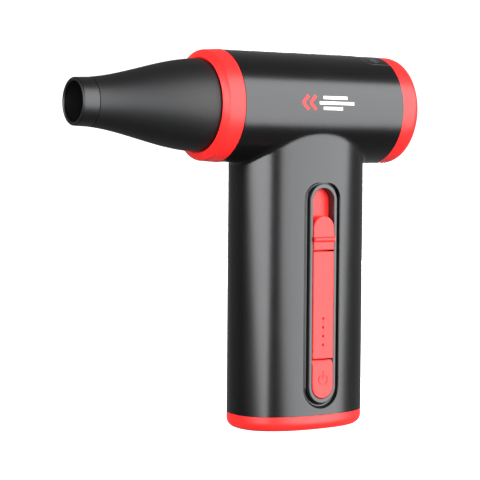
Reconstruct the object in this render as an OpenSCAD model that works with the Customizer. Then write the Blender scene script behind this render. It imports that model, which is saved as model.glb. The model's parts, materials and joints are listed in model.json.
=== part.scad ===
// Cordless car dryer blower: a round fan head on an oval battery handle.
// +Z is up, the air leaves towards -X and the controls face -Y.
// The origin is the centre of the base's underside. Millimetres.

/* [Body] */
// Height of the head's axis above the base
axis_z = 161.3; // [159:0.1:200]
// Outer radius of the head
head_r = 28; // [27.5:0.1:34]
// From the handle's centre to the front ring
head_front = 48.6; // [46:0.1:60]
// From the handle's centre to the rear ring
head_rear = 47.1; // [44:0.1:60]
// Wall of the two body shells
wall = 2.3; // [1.8:0.1:2.8]
// Half of the handle's size along the head
grip_half_x = 36.5; // [36:0.1:45]
// Half of the handle's size across the head
grip_half_y = 24; // [23.5:0.1:27.5]
// Squareness of the handle's oval, where 2 is an ellipse
grip_power = 2.37; // [2.2:0.01:3]

/* [Base cap] */
// Height of the base cap
cap_h = 7.7; // [6.5:0.1:10]
// Rounding of the base cap's lower edge
cap_round = 4.6; // [2:0.1:5.5]
// Thickness of the base cap's floor
cap_floor = 2.4; // [2:0.1:3]
// How far the base cap's lip reaches into the body
lip_h = 1.8; // [1:0.1:3]

/* [Rings] */
// Length of the front ring
front_ring_len = 10.8; // [9.5:0.1:14]
// Length of the front ring's nearly straight band
front_band_len = 8.3; // [6:0.1:9]
// How much the front ring's band narrows towards the bevel
front_band_taper = 0.64; // [0:0.01:1]
// Length of the rear ring
rear_ring_len = 10.5; // [9.5:0.1:14]
// How much the rear ring narrows at its end
rear_ring_drop = 2; // [1:0.1:3]
// How far each ring reaches into the body
spigot_len = 6; // [4:0.1:8]

/* [Nozzle] */
// Length of the nozzle outside the front ring
nozzle_len = 67.9; // [50:0.1:90]
// Outer radius of the nozzle's mouth
tip_r = 11.5; // [9:0.1:14]
// Outer radius of the nozzle where it meets the ring
nozzle_r = 22.9; // [22.5:0.1:24]
// Wall of the nozzle
nozzle_wall = 1.9; // [1.6:0.1:2.2]
// Length of the soft sleeve at the mouth
sleeve_len = 8.4; // [6:0.1:12]
// Thickness of the soft sleeve
sleeve_wall = 1.1; // [0.9:0.1:1.2]
// Radius of the socket that takes the nozzle
socket_r = 20.5; // [20.2:0.1:21]
// Depth of the socket that takes the nozzle
socket_len = 8; // [6:0.1:8.5]

/* [Control strip] */
// Lowest point of the control opening
strip_low = 15.9; // [15:0.1:20]
// Highest point of the control opening
strip_high = 120.9; // [118:0.1:125]
// Width of the control opening
opening_w = 12.75; // [11:0.05:15]
// Width of the bezel's rim
rim_w = 1.7; // [1.2:0.1:2]
// How much wider the bezel's rim is at its two ends
rim_end = 0.65; // [0:0.05:0.8]
// Width of the groove around the bezel
groove_w = 2.4; // [1.5:0.1:2.6]
// Depth of the groove around the bezel
groove_depth = 2.2; // [1:0.1:2.6]
// How far the bezel stands out of the handle
rim_proud = 0.5; // [0:0.1:1]
// How far the red pieces stand out of the bezel
red_proud = 0.4; // [0:0.1:1]
// Depth of the pocket behind the slider
pocket_depth = 4.9; // [4.5:0.1:5.5]
// Gap beside each red piece
side_gap = 0.25; // [0.15:0.05:0.4]
// Gap between one red piece and the next
end_gap = 0.8; // [0.5:0.1:1.2]
// Length of the power button
button_len = 19.1; // [16:0.1:22]
// Length of the indicator strip
indicator_len = 53.5; // [45:0.1:54]
// Length of the speed slider
slider_len = 16.8; // [15.5:0.1:18.5]
// Travel of the speed slider
slider_travel = 12.5; // [6:0.1:12.8]
// Travel of the power button
button_travel = 0.8; // [0.3:0.1:1]
// Spacing of the light dots
dot_pitch = 4.4; // [3:0.1:5]
// Radius of each light dot
dot_r = 0.6; // [0.4:0.1:0.8]

/* [Fan] */
// Inner radius of the air duct
duct_r = 18; // [17:0.1:18.2]
// Wall of the air duct
duct_wall = 1.4; // [1:0.1:1.5]
// Outer radius of the motor's hub
hub_r = 11; // [10.5:0.1:12]
// Number of fan blades
blade_count = 11; // [7:1:13]
// Number of stator vanes
vane_count = 9; // [5:1:11]
// Radius of the motor shaft
shaft_r = 1.5; // [1:0.1:2]

/* [Battery] */
// Radius of a battery cell
cell_r = 10.6; // [9:0.1:10.7]
// Height of a battery cell
cell_h = 70; // [60:0.1:72]

/* [Charging port] */
// Width of the charging socket's shell
port_w = 8.94; // [8:0.01:10]
// Thickness of the charging socket's shell
port_t = 3.26; // [3:0.01:4]

/* [Hidden] */
$fn = 96;

// Clearances, for pieces that are pushed together and for pieces that move
fit_gap = 0.1;
seat_gap = 0.05;
running_gap = 0.03;
// A cut reaches this far past the face that it leaves through
past = 1;

// Body
grip_sides = 64;
head_in_r = head_r - wall;
grip_in_x = grip_half_x - wall;
grip_in_y = grip_half_y - wall;
front_plane_x = -head_front - front_ring_len;

// Control strip, from the front of the handle inwards
rim_y = -grip_half_y - rim_proud;
red_y = rim_y - red_proud;
floor_y = rim_y + pocket_depth;
flange_y = floor_y + 0.6;
flange_t = 1.4;
track_y = flange_y + flange_t;
track_t = 1.2;
track_back_y = track_y + track_t;
switch_depth = 4.4;
board_y = track_back_y + switch_depth;
board_t = 1.4;
board_back_y = board_y + board_t;
bezel_w = opening_w + 2 * rim_w;
groove_out_w = bezel_w + 2 * groove_w;
flange_w = bezel_w + 7;
pad_w = flange_w + 2;
red_w = opening_w - 2 * side_gap;
track_w = flange_w - 6;
control_board_w = flange_w + 1;
control_board_low = strip_low + 2.5;
control_board_high = strip_high - 1;
button_low = strip_low + side_gap;
button_high = button_low + button_len;
indicator_low = button_high + end_gap;
indicator_high = indicator_low + indicator_len;
slider_low = indicator_high + end_gap;
slider_high = slider_low + slider_len;
button_y_gap = button_travel + 0.6;
button_facet_len = 2.6;
button_facet_depth = 1.3;
button_stem_r = 1.5;
button_stem_z = button_low + button_len / 2;
power_mark_r = 2.7;
power_mark_line = 0.4;
power_mark_depth = 0.25;
plunger_r = 1.75;
plunger_reach = 1.2;
switch_w = 6;
switch_t = 3.2;
rib_z = slider_low + 5.2;
rib_r = 1.25;
stem_w = 2.4;
stem_z = slider_low + 1;
stem_h = 3;
lever_w = 1.2;
lever_h = 2;
slot_margin = 0.3;
slider_back_y = floor_y - 0.4;
pot_w = 8;
pot_margin = 4;
post_x = flange_w / 2 - 1.4;
post_r = 1.4;
post_low_z = strip_low + 18;
post_high_z = strip_high - 18;
m2_r = 0.95;
m2_pilot_r = 1;
m2_hole_r = 1.1;
m2_head_r = 1.9;
m2_head_h = 1.3;
m2_bite = 4;
m2_pilot_depth = 5;
dot_low_z = indicator_low + 6.9;
dot_count = 4;
led_t = 0.8;
led_w = 1.6;

// Display window at the top rear of the head
window_len = 15;
window_half_w = 16.2;
window_corner = 4;
window_recess = 0.3;
window_t = 1.3;
window_ledge = 1.3;
window_x = head_rear - window_len;
display_seat_h = 0.8;
display_seat_w = 14;
display_seat_root = 5.2;
display_inset = 0.4;
display_len = 8;
display_w = 18;
display_module_len = 7;
display_module_w = 14;
display_board_t = 1;
display_module_h = 2.4;

// Fan and motor, placed along the head
housing_front_x = -6;
housing_rear_x = head_rear - spigot_len;
duct_out_r = duct_r + duct_wall;
display_x = housing_rear_x - display_len - display_inset;
display_z = axis_z + duct_out_r + display_seat_h;
seat_lap = 0.5;
hub_wall = 1.4;
hub_in_r = hub_r - hub_wall;
hub_front_x = -4;
hub_rear_x = 23;
bearing_len = 3.5;
bearing_r = 4;
core_x = 4;
core_len = 9;
core_in_r = 5.1;
coil_count = 6;
coil_slot_r = 1.5;
coil_ring_x = (hub_in_r + core_in_r) / 2;
winding_out_r = hub_in_r - 0.5;
winding_in_r = core_in_r + 0.3;
winding_lap = 0.5;
front_turns = 2.6;
rear_turns = 5;
magnet_r = 4.5;
vane_x = -2;
vane_len = 13;
vane_t = 1;
vane_tilt = 22;
impeller_x = hub_rear_x + 0.5;
impeller_len = 12;
spinner_len = 5;
blade_t = 1;
blade_tilt = 48;
blade_clearance = 0.25;
cone_len = 14;
mount_len = 5;
front_mount_x = -4;
rear_mount_x = 26;
grille_recess = 2.3;
grille_t = 2;
filter_t = 1;
intake_r = 24;
grille_hub_r = 5;
grille_pitch = 3.6;
grille_bar = 1.2;
grille_spokes = 6;
grille_rim_w = 2.1;
grille_spoke_inset = 0.25;
mesh_pitch = 5;
mesh_bar = 0.8;
mesh_inset = 0.1;
filter_rim_w = 2;
grille_rings = 4;
duct_seat = 1.4;
socket_wall = 1.8;
ring_web = 2;
hollow_step = 1.8;
hollow_corner = 0.6;
bevel_steps = 5;
bevel_bulge = 0.8;
bell_steps = 8;
bell_lip = 1.5;
bell_root_t = 2.4;
bell_web_t = 3.6;
rear_edge_len = 4;
rear_edge_steps = 6;

// Nozzle
ogee_inset = 2;
ogee_overrun = 1;
ogee_steps = 30;
spigot_r = socket_r - fit_gap;
spigot_wall = 1.9;
o_ring_r = 0.9;
o_ring_inset = 3.2;
lip_steps = 6;
sleeve_inner_r = tip_r - sleeve_wall;
sleeve_lip = 1.3;
bore_r = tip_r - nozzle_wall;
seam_r = ogee_r(sleeve_len / nozzle_len);

// Battery pack and the boards above and below it
pack_low = cap_h + 6;
holder_wall = 1;
holder_floor = 2;
holder_h = 7;
holder_r = cell_r + holder_wall;
pack_y = board_back_y + 3 + holder_r;
cell_pitch = 2 * cell_r + 0.3;
cell_low = pack_low + holder_floor;
cell_button_h = 0.5;
cell_top = cell_low + cell_h;
link_w = 7.6;
link_t = 0.3;
link_slot_w = 8;
pack_high = cell_top + holder_floor;
pack_rib_x = 19;
pack_rib_t = 1.6;
controller_y = 2;
controller_t = 1.6;
controller_low = pack_high + 4.5;
controller_high = controller_low + 34;
controller_half_w = 23;
controller_post_z = controller_low + 28;
controller_post_x = controller_half_w - 3;
controller_post_r = 2.2;
transistor_count = 6;
transistor_pitch = 6;
transistor_w = 5;
transistor_t = 1.1;
transistor_h = 6;
transistor_z = 5;
capacitor_x = 14;
capacitor_r = 4;
capacitor_h = 12;
capacitor_z = 14;
sink_w = 28;
sink_h = 20;
sink_z = 2;
sink_base_t = 2;
sink_fin_h = 6;
sink_fin_t = 1.4;
sink_fin_pitch = 4;
lead_r = 1.1;
lead_x = 16;
phase_r = 0.7;
phase_pitch = 1.6;
phase_x = core_x + core_len + 0.9;
ribbon_w = 8;
ribbon_t = 0.6;
ribbon_z = controller_low + 16;

// Charging port and the base
port_sink = 1;
port_board_z = cap_h + lip_h + 0.1;
port_board_t = 1.4;
port_board_x = 24;
port_board_y = 16;
port_wall = 0.35;
port_gap = 0.2;
port_post_x = 9;
port_post_r = 2;
tongue_t = 0.7;
tongue_inset = 1.3;

// Screws
boss_r = 3;
shell_screw_x = grip_in_x - 5.6;
shell_screw_low = pack_high + 5;
shell_screw_high = shell_screw_low + 32;
shell_screw_y = 8;
shell_screw_len = 14;
screw_r = 1.2;
screw_pilot_r = 1.25;
screw_hole_r = 1.4;
screw_head_r = 2.4;
screw_head_h = 1.8;
screw_well_r = 2.7;
base_screw_x = 20;
base_screw_y = grip_in_y - 8.7;
base_screw_len = 6.5;
base_well = 2.2;
well_wall = 0.9;
lip_t = 1.6;
cap_levels = 4;

// ---------- Helpers ----------

// Places what follows on the head's axis, pointing to the rear
module to_rear(x) {
    translate([x, 0, axis_z]) rotate([0, 90, 0]) children();
}

// Places what follows on the head's axis, pointing to the nozzle
module to_front(x) {
    translate([x, 0, axis_z]) rotate([0, -90, 0]) children();
}

// A drawing in X and Z, given depth along Y
module slab(front_y, back_y) {
    translate([0, back_y, 0]) rotate([90, 0, 0]) linear_extrude(back_y - front_y) children();
}

module tube(r_out, r_in, h) {
    difference() {
        cylinder(r = r_out, h = h);
        translate([0, 0, -past]) cylinder(r = r_in, h = h + 2 * past);
    }
}

// A pin along Y at a place in X and Z
module pin(x, z, r, front_y, back_y) {
    translate([x, back_y, z]) rotate([90, 0, 0]) cylinder(r = r, h = back_y - front_y);
}

// An upright slot shape with round ends, grown from the control opening and a little more at the ends
module stadium(width) {
    grow = (width - opening_w) / 2 + (width > opening_w ? rim_end : 0);
    low = strip_low - grow;
    high = strip_high + grow;
    translate([-width / 2, low + width / 2]) square([width, high - low - width]);
    translate([0, low + width / 2]) circle(width / 2);
    translate([0, high - width / 2]) circle(width / 2);
}

function sign_power(v, p) = sign(v) * pow(abs(v), p);

function grip_point(turn, inset) = [
    (grip_half_x - inset) * sign_power(cos(turn), 2 / grip_power),
    (grip_half_y - inset) * sign_power(sin(turn), 2 / grip_power)
];

// The handle's oval, drawn smaller by the inset
module grip_outline(inset) {
    polygon([for (i = [0:grip_sides - 1]) grip_point(i * 360 / grip_sides, inset)]);
}

module screw(r, len, head_r, head_h) {
    cylinder(r = r, h = len);
    translate([0, 0, -head_h]) cylinder(r = head_r, h = head_h);
}

// ---------- Body ----------

module body_outside() {
    to_rear(-head_front) cylinder(r = head_r, h = head_front + head_rear);
    translate([0, 0, cap_h]) linear_extrude(axis_z - cap_h) grip_outline(0);
}

module body_inside() {
    to_rear(-head_front - past) cylinder(r = head_in_r, h = head_front + head_rear + 2 * past);
    translate([0, 0, cap_h - past]) linear_extrude(axis_z - cap_h + past) grip_outline(wall);
}

module half_space(side) {
    reach = 2 * axis_z;
    translate([-reach / 2, side > 0 ? 0 : -reach, 0]) cube([reach, reach, reach]);
}

// One half of the body, cut at the parting plane
module half_shell(side) {
    intersection() {
        difference() {
            body_outside();
            body_inside();
        }
        half_space(side);
    }
}

// The display window's outline seen from above, grown or shrunk
module window_prism(grow) {
    low_x = window_x - grow;
    half_w = window_half_w + grow;
    corner = window_corner + grow;
    translate([0, 0, axis_z]) linear_extrude(2 * head_r) {
        translate([low_x + corner, -half_w]) square([head_rear + past - low_x - corner, 2 * half_w]);
        translate([low_x, corner - half_w]) square([corner + past, 2 * (half_w - corner)]);
        for (side = [-1, 1])
            translate([low_x + corner, side * (half_w - corner)]) circle(corner);
    }
}

// The window's recess and the hole under its lens
module window_cut() {
    lens_in_r = head_r - window_recess - window_t;
    difference() {
        window_prism(fit_gap);
        to_rear(window_x - 2 * past) cylinder(r = lens_in_r, h = window_len + 4 * past);
    }
    window_prism(-window_ledge);
}

module base_bosses(side) {
    for (x = [-base_screw_x, base_screw_x])
        difference() {
            translate([x, side * base_screw_y, cap_h]) cylinder(r = boss_r, h = pack_low - cap_h);
            translate([x, side * base_screw_y, cap_h - past])
                cylinder(r = screw_pilot_r, h = base_screw_len + past);
        }
}

// Webs that tie the base bosses to the wall
module base_boss_webs(side) {
    for (x = [-base_screw_x, base_screw_x])
        translate([x - 1, side > 0 ? base_screw_y + 2 : -grip_half_y, cap_h])
            cube([2, grip_half_y - base_screw_y - 2, pack_low - cap_h]);
}

// Ribs that reach from the wall to the cell holders
module pack_ribs(side) {
    reach = side > 0 ? grip_half_y - pack_y - holder_r : grip_half_y + pack_y - holder_r;
    for (x = [-pack_rib_x, pack_rib_x], z = [pack_low, pack_high - holder_h])
        translate([x - pack_rib_t / 2, side > 0 ? pack_y + holder_r : -grip_half_y, z])
            cube([pack_rib_t, reach, holder_h]);
}

module shell_screw_places() {
    for (x = [-shell_screw_x, shell_screw_x])
        for (z = [shell_screw_low, shell_screw_high])
            translate([x, 0, z]) children();
}

module control_side_shell() {
    color([0.12, 0.12, 0.13]) difference() {
        union() {
            half_shell(-1);
            intersection() {
                slab(-grip_half_y + wall / 2, flange_y) stadium(pad_w);
                body_outside();
            }
            intersection() {
                union() {
                    shell_screw_places() rotate([90, 0, 0]) cylinder(r = boss_r, h = grip_half_y);
                    base_boss_webs(-1);
                    pack_ribs(-1);
                }
                body_outside();
            }
            base_bosses(-1);
        }
        slab(-grip_half_y - past, -grip_half_y + groove_depth) stadium(groove_out_w);
        slab(-grip_half_y - past, flange_y + past) stadium(bezel_w + 2 * fit_gap);
        shell_screw_places() translate([0, past, 0]) rotate([90, 0, 0])
            cylinder(r = screw_pilot_r, h = shell_screw_len - shell_screw_y + past + 1);
        window_cut();
    }
}

module plain_side_shell() {
    color([0.12, 0.12, 0.13]) difference() {
        union() {
            half_shell(1);
            intersection() {
                union() {
                    shell_screw_places() rotate([-90, 0, 0])
                        cylinder(r = screw_well_r + well_wall, h = grip_half_y);
                    controller_posts();
                    base_boss_webs(1);
                    pack_ribs(1);
                }
                body_outside();
            }
            base_bosses(1);
        }
        shell_screw_places() rotate([-90, 0, 0]) {
            translate([0, 0, -past]) cylinder(r = screw_hole_r, h = grip_half_y);
            translate([0, 0, shell_screw_y]) cylinder(r = screw_well_r, h = grip_half_y);
        }
        controller_post_places() translate([0, -past, 0]) rotate([-90, 0, 0])
            cylinder(r = m2_pilot_r, h = m2_pilot_depth + past);
        window_cut();
    }
}

module controller_post_places() {
    for (x = [-controller_post_x, controller_post_x])
        translate([x, controller_y + controller_t, controller_post_z]) children();
}

module controller_posts() {
    controller_post_places() rotate([-90, 0, 0]) cylinder(r = controller_post_r, h = grip_half_y);
}

// ---------- Rings, grille and filter ----------

// The band, the bevel, the nozzle's socket and the seat of the outlet duct
module front_ring() {
    socket_floor = front_ring_len - socket_len;
    socket_out_r = socket_r + socket_wall;
    hollow_end = front_band_len - ring_web;
    color([0.86, 0.13, 0.13]) to_front(-head_front) rotate_extrude() polygon([
        [duct_out_r + fit_gap, -spigot_len],
        [socket_out_r, -spigot_len],
        [socket_out_r, hollow_end],
        [head_in_r - front_band_taper, hollow_end - hollow_corner],
        [head_in_r, hollow_step],
        [head_in_r - wall, hollow_step - ring_web],
        [head_in_r - wall, -spigot_len],
        [head_in_r - fit_gap, -spigot_len],
        [head_in_r - fit_gap, 0],
        [head_r, 0],
        [head_r - front_band_taper, front_band_len],
        for (i = [1:bevel_steps]) bevel_point(i / bevel_steps),
        [socket_r, front_ring_len],
        [socket_r, socket_floor],
        [duct_r, socket_floor],
        [duct_r, socket_floor - duct_seat],
        [duct_out_r + fit_gap, socket_floor - duct_seat]
    ]);
}

// The front ring's bevel bulges a little between the band and the nozzle's shoulder
function bevel_point(t) = [
    head_r - front_band_taper + (nozzle_r - head_r + front_band_taper) * t,
    front_band_len + (front_ring_len - front_band_len) * pow(t, bevel_bulge)
];

// The bellmouth and the pocket that holds the grille and the filter
module rear_ring() {
    pocket_floor = spigot_len + rear_ring_len - grille_recess - grille_t - filter_t;
    web_z = spigot_len + past;
    bell_rise = intake_r - bell_lip - duct_r;
    color([0.86, 0.13, 0.13]) to_rear(housing_rear_x) rotate_extrude() polygon([
        [duct_r, 0],
        [duct_r + bell_root_t, 0],
        [duct_r + bell_web_t, web_z],
        [head_in_r - wall, web_z],
        [head_in_r - wall, 0],
        [head_in_r - fit_gap, 0],
        [head_in_r - fit_gap, spigot_len],
        [head_r, spigot_len],
        for (i = [0:rear_edge_steps]) rear_edge_point(i / rear_edge_steps),
        [intake_r, spigot_len + rear_ring_len],
        [intake_r, pocket_floor],
        for (i = [bell_steps:-1:1]) let (a = i * 90 / bell_steps)
            [duct_r + bell_rise * (1 - cos(a)), pocket_floor * sin(a)]
    ]);
}

// The rear ring's soft outer edge
function rear_edge_point(t) = [
    head_r - rear_ring_drop * (1 - cos(90 * t)),
    spigot_len + rear_ring_len - rear_edge_len * (1 - sin(90 * t))
];

// Concentric rings on spokes that are a little thinner than the rings
module intake_grille() {
    grille_x = head_rear + rear_ring_len - grille_recess - grille_t;
    rim_r = intake_r - fit_gap;
    spoke_t = grille_t - 2 * grille_spoke_inset;
    color([0.1, 0.1, 0.1]) to_rear(grille_x) {
        tube(rim_r, rim_r - grille_rim_w, grille_t);
        cylinder(r = grille_hub_r, h = grille_t);
        for (i = [1:grille_rings]) let (r = grille_hub_r + i * grille_pitch)
            tube(r, r - grille_bar, grille_t);
        for (i = [0:grille_spokes - 1])
            rotate([0, 0, i * 360 / grille_spokes])
                translate([grille_hub_r - 1, -grille_bar / 2, grille_spoke_inset])
                    cube([rim_r - grille_hub_r, grille_bar, spoke_t]);
    }
}

// The filter's frame and its coarse mesh
module intake_filter() {
    filter_x = head_rear + rear_ring_len - grille_recess - grille_t - filter_t;
    rim_r = intake_r - fit_gap;
    color([0.5, 0.5, 0.52]) to_rear(filter_x) {
        tube(rim_r, rim_r - filter_rim_w, filter_t);
        intersection() {
            cylinder(r = rim_r - filter_rim_w / 2, h = filter_t);
            for (i = [-4:4], turn = [0, 90])
                rotate([0, 0, turn]) translate([i * mesh_pitch - mesh_bar / 2, -intake_r, mesh_inset])
                    cube([mesh_bar, 2 * intake_r, filter_t - 2 * mesh_inset]);
        }
    }
}

// ---------- Base cap ----------

// One level of the rounded lower edge, from 0 at the underside to 1 at full size
module cap_level(t) {
    translate([0, 0, cap_round * (1 - cos(90 * t))])
        linear_extrude(0.01) grip_outline(cap_round * (1 - sin(90 * t)));
}

module base_screw_places() {
    for (x = [-base_screw_x, base_screw_x], side = [0, 1])
        mirror([0, side, 0]) translate([x, base_screw_y, 0]) children();
}

module cap_outside() {
    for (i = [0:cap_levels - 1]) hull() {
        cap_level(i / cap_levels);
        cap_level((i + 1) / cap_levels);
    }
    translate([0, 0, cap_round]) linear_extrude(cap_h - cap_round) grip_outline(0);
}

// The lip inside the shells, open where the shells' bosses and pad come down
module cap_lip() {
    cut = boss_r + fit_gap;
    difference() {
        translate([0, 0, cap_h - past]) linear_extrude(lip_h + past) grip_outline(wall + fit_gap);
        slab(-grip_half_y, flange_y + fit_gap) stadium(pad_w + 2 * fit_gap);
        base_screw_places() translate([-cut, -cut, cap_h]) cube([2 * cut, 2 * grip_half_y, lip_h + past]);
    }
}

module base_cap() {
    hollow_inset = max(wall + fit_gap + lip_t, cap_round - hollow_corner);
    color([0.86, 0.13, 0.13]) difference() {
        union() {
            difference() {
                union() {
                    cap_outside();
                    cap_lip();
                }
                translate([0, 0, cap_floor]) linear_extrude(cap_h + lip_h) grip_outline(hollow_inset);
            }
            base_screw_places() translate([0, 0, cap_floor - seat_lap])
                cylinder(r = boss_r, h = cap_h - cap_floor + seat_lap);
            port_post_places() translate([0, 0, cap_floor - seat_lap])
                cylinder(r = port_post_r, h = port_board_z - cap_floor + seat_lap);
        }
        base_screw_places() translate([0, 0, -past]) {
            cylinder(r = screw_hole_r, h = cap_h + 2 * past);
            cylinder(r = screw_well_r, h = base_well + past);
        }
        port_post_places() translate([0, 0, cap_floor + past]) cylinder(r = m2_pilot_r, h = port_board_z);
        translate([0, pack_y, -past]) linear_extrude(cap_floor + 2 * past) port_outline(port_gap);
    }
}

module port_post_places() {
    for (x = [-port_post_x, port_post_x]) translate([x, pack_y, 0]) children();
}

module port_outline(grow) {
    r = port_t / 2 + grow;
    half = port_w / 2 - port_t / 2;
    translate([-half, -r]) square([2 * half, 2 * r]);
    for (side = [-1, 1]) translate([side * half, 0]) circle(r);
}

// ---------- Control strip ----------

module control_bezel() {
    color([0.16, 0.16, 0.17]) difference() {
        union() {
            slab(rim_y, track_y) stadium(bezel_w);
            slab(flange_y, track_y) stadium(flange_w);
            for (x = [-post_x, post_x], z = [post_low_z, post_high_z]) pin(x, z, post_r, flange_y, board_y);
        }
        slab(rim_y - past, track_y + past) stadium(opening_w);
        for (x = [-post_x, post_x], z = [post_low_z, post_high_z])
            pin(x, z, m2_pilot_r, board_y - m2_pilot_depth, board_y + past);
    }
}

// The pocket's floor, which carries the slider and the strip
module slider_track() {
    color([0.75, 0.1, 0.1]) difference() {
        union() {
            slab(floor_y, track_back_y) stadium(opening_w - fit_gap);
            slab(track_y, track_back_y) stadium(track_w);
        }
        slab(floor_y - past, track_back_y + past) slider_slot(stem_w / 2 + slot_margin);
        for (i = [0:dot_count - 1])
            pin(0, dot_low_z + i * dot_pitch, dot_r + seat_gap, floor_y - past, track_back_y + past);
        pin(0, button_stem_z, button_stem_r + slot_margin, floor_y - past, track_back_y + past);
    }
}

// The path of the slider's stem, with a margin at each side and end
module slider_slot(half_w) {
    translate([-half_w, stem_z - slot_margin])
        square([2 * half_w, slider_travel + stem_h + 2 * slot_margin]);
}

module speed_slider() {
    top_r = red_w / 2 + 0.3;
    color([0.9, 0.18, 0.18]) difference() {
        union() {
            slab(red_y, slider_back_y) intersection() {
                translate([-red_w / 2, slider_low]) square([red_w, slider_len]);
                union() {
                    translate([0, slider_high - top_r]) circle(top_r);
                    translate([-red_w / 2, slider_low]) square([red_w, slider_len - top_r]);
                }
            }
            translate([-red_w / 2, red_y - 0.1, rib_z]) rotate([0, 90, 0]) cylinder(r = rib_r, h = red_w);
            translate([-stem_w / 2, slider_back_y - past, stem_z])
                cube([stem_w, track_back_y - 0.8 - slider_back_y + past, stem_h]);
        }
        lever_socket(seat_gap);
    }
}

// The space of the potentiometer's lever inside the slider
module lever_socket(grow) {
    translate([-lever_w / 2 - grow, slider_back_y - 0.4, stem_z + (stem_h - lever_h) / 2 - grow])
        cube([lever_w + 2 * grow, track_back_y - slider_back_y + 1, lever_h + 2 * grow]);
}

module slider_lever() {
    color([0.75, 0.75, 0.77])
        translate([-lever_w / 2, slider_back_y - 0.4, stem_z + (stem_h - lever_h) / 2])
            cube([lever_w, board_y - 1.4 - slider_back_y + 0.4, lever_h]);
}

module slide_potentiometer() {
    low = stem_z - pot_margin;
    color([0.55, 0.56, 0.58]) difference() {
        translate([-pot_w / 2, track_back_y, low])
            cube([pot_w, switch_depth, slider_travel + stem_h + 2 * pot_margin]);
        slab(track_back_y - past, board_y - 1) slider_slot(lever_w / 2 + slot_margin);
    }
}

module indicator_strip() {
    color([0.9, 0.18, 0.18]) difference() {
        translate([-red_w / 2, red_y, indicator_low]) cube([red_w, floor_y - red_y, indicator_len]);
        for (i = [0:dot_count - 1])
            pin(0, dot_low_z + i * dot_pitch, dot_r + seat_gap, red_y - past, floor_y + past);
    }
}

module light_pipes() {
    color([0.85, 0.02, 0.02]) for (i = [0:dot_count - 1])
        pin(0, dot_low_z + i * dot_pitch, dot_r, red_y, board_y - led_t);
}

module indicator_leds() {
    color([0.9, 0.9, 0.8]) for (i = [0:dot_count - 1])
        translate([-led_w / 2, board_y - led_t, dot_low_z + i * dot_pitch - led_w / 2])
            cube([led_w, led_t, led_w]);
}

// The button's outline has a straight top and a round bottom
module button_outline(width) {
    translate([0, button_low + width / 2]) circle(width / 2);
    translate([-width / 2, button_low + width / 2]) square([width, button_len - width / 2]);
}

// The ring and bar of the power mark
module power_mark() {
    translate([0, button_low + button_len / 2]) {
        difference() {
            circle(power_mark_r + power_mark_line / 2);
            circle(power_mark_r - power_mark_line / 2);
            translate([-1.1, 0]) square([2.2, 2 * power_mark_r]);
        }
        translate([-power_mark_line / 2, 0.3]) square([power_mark_line, power_mark_r + 0.4]);
    }
}

module power_button() {
    color([0.9, 0.18, 0.18]) difference() {
        union() {
            slab(red_y, floor_y - button_y_gap) button_outline(red_w);
            pin(0, button_stem_z, button_stem_r, floor_y - button_y_gap - past, plunger_y());
        }
        slab(red_y - past, red_y + power_mark_depth) power_mark();
        translate([-red_w, red_y, button_high - button_facet_len])
            rotate([-atan(button_facet_depth / button_facet_len), 0, 0])
                translate([0, -2 * button_facet_depth, 0])
                    cube([2 * red_w, 2 * button_facet_depth, 2 * button_facet_len]);
    }
}

// Where the button's stem meets the switch's plunger
function plunger_y() = board_y - switch_t - plunger_reach;

module switch_plunger() {
    color([0.15, 0.15, 0.15])
        pin(0, button_stem_z, plunger_r - running_gap, plunger_y(), board_y - switch_t + 1);
}

module power_switch() {
    color([0.7, 0.7, 0.72]) difference() {
        translate([-switch_w / 2, board_y - switch_t, button_stem_z - switch_w / 2])
            cube([switch_w, switch_t, switch_w]);
        pin(0, button_stem_z, plunger_r, board_y - switch_t - past,
            board_y - switch_t + 1 + button_travel + 0.2);
    }
}

module control_board() {
    color([0.05, 0.3, 0.15]) difference() {
        translate([-control_board_w / 2, board_y, control_board_low])
            cube([control_board_w, board_t, control_board_high - control_board_low]);
        for (x = [-post_x, post_x], z = [post_low_z, post_high_z])
            pin(x, z, m2_hole_r, board_y - past, board_back_y + past);
    }
}

// Small screws of the control board, the controller board and the charging board
module board_screws() {
    color([0.75, 0.75, 0.77]) {
        for (x = [-post_x, post_x], z = [post_low_z, post_high_z])
            translate([x, board_back_y, z]) rotate([90, 0, 0]) board_screw(board_t + m2_bite);
        controller_post_places() translate([0, -controller_t, 0]) rotate([-90, 0, 0])
            board_screw(controller_t + m2_bite);
        port_post_places() translate([0, 0, port_board_z + port_board_t]) rotate([180, 0, 0])
            board_screw(port_board_t + m2_bite);
    }
}

module board_screw(len) {
    screw(m2_r, len, m2_head_r, m2_head_h);
}

// ---------- Display ----------

module display_window() {
    color([0.03, 0.03, 0.04]) intersection() {
        window_prism(0);
        to_rear(window_x - past)
            tube(head_r - window_recess, head_r - window_recess - window_t, window_len + past);
    }
}

module display_board() {
    color([0.05, 0.3, 0.15])
        translate([display_x, -display_w / 2, display_z]) cube([display_len, display_w, display_board_t]);
}

module display_module() {
    inset = (display_len - display_module_len) / 2;
    color([0.1, 0.1, 0.1])
        translate([display_x + inset, -display_module_w / 2, display_z + display_board_t])
            cube([display_module_len, display_module_w, display_module_h]);
}

// ---------- Charging port ----------

module charging_port() {
    color([0.75, 0.75, 0.77]) {
        difference() {
            translate([0, pack_y, port_sink]) linear_extrude(port_board_z - port_sink) port_outline(0);
            translate([0, pack_y, port_sink - past])
                linear_extrude(port_board_z - port_sink) port_outline(-port_wall);
        }
        translate([tongue_inset - port_w / 2, pack_y - tongue_t / 2, port_sink + past])
            cube([port_w - 2 * tongue_inset, tongue_t, port_board_z - port_sink - past - port_wall]);
    }
}

module charging_board() {
    color([0.05, 0.3, 0.15]) difference() {
        translate([-port_board_x / 2, pack_y - port_board_y / 2, port_board_z])
            cube([port_board_x, port_board_y, port_board_t]);
        port_post_places() translate([0, 0, port_board_z - past])
            cylinder(r = m2_hole_r, h = port_board_t + 2 * past);
    }
}

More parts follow.
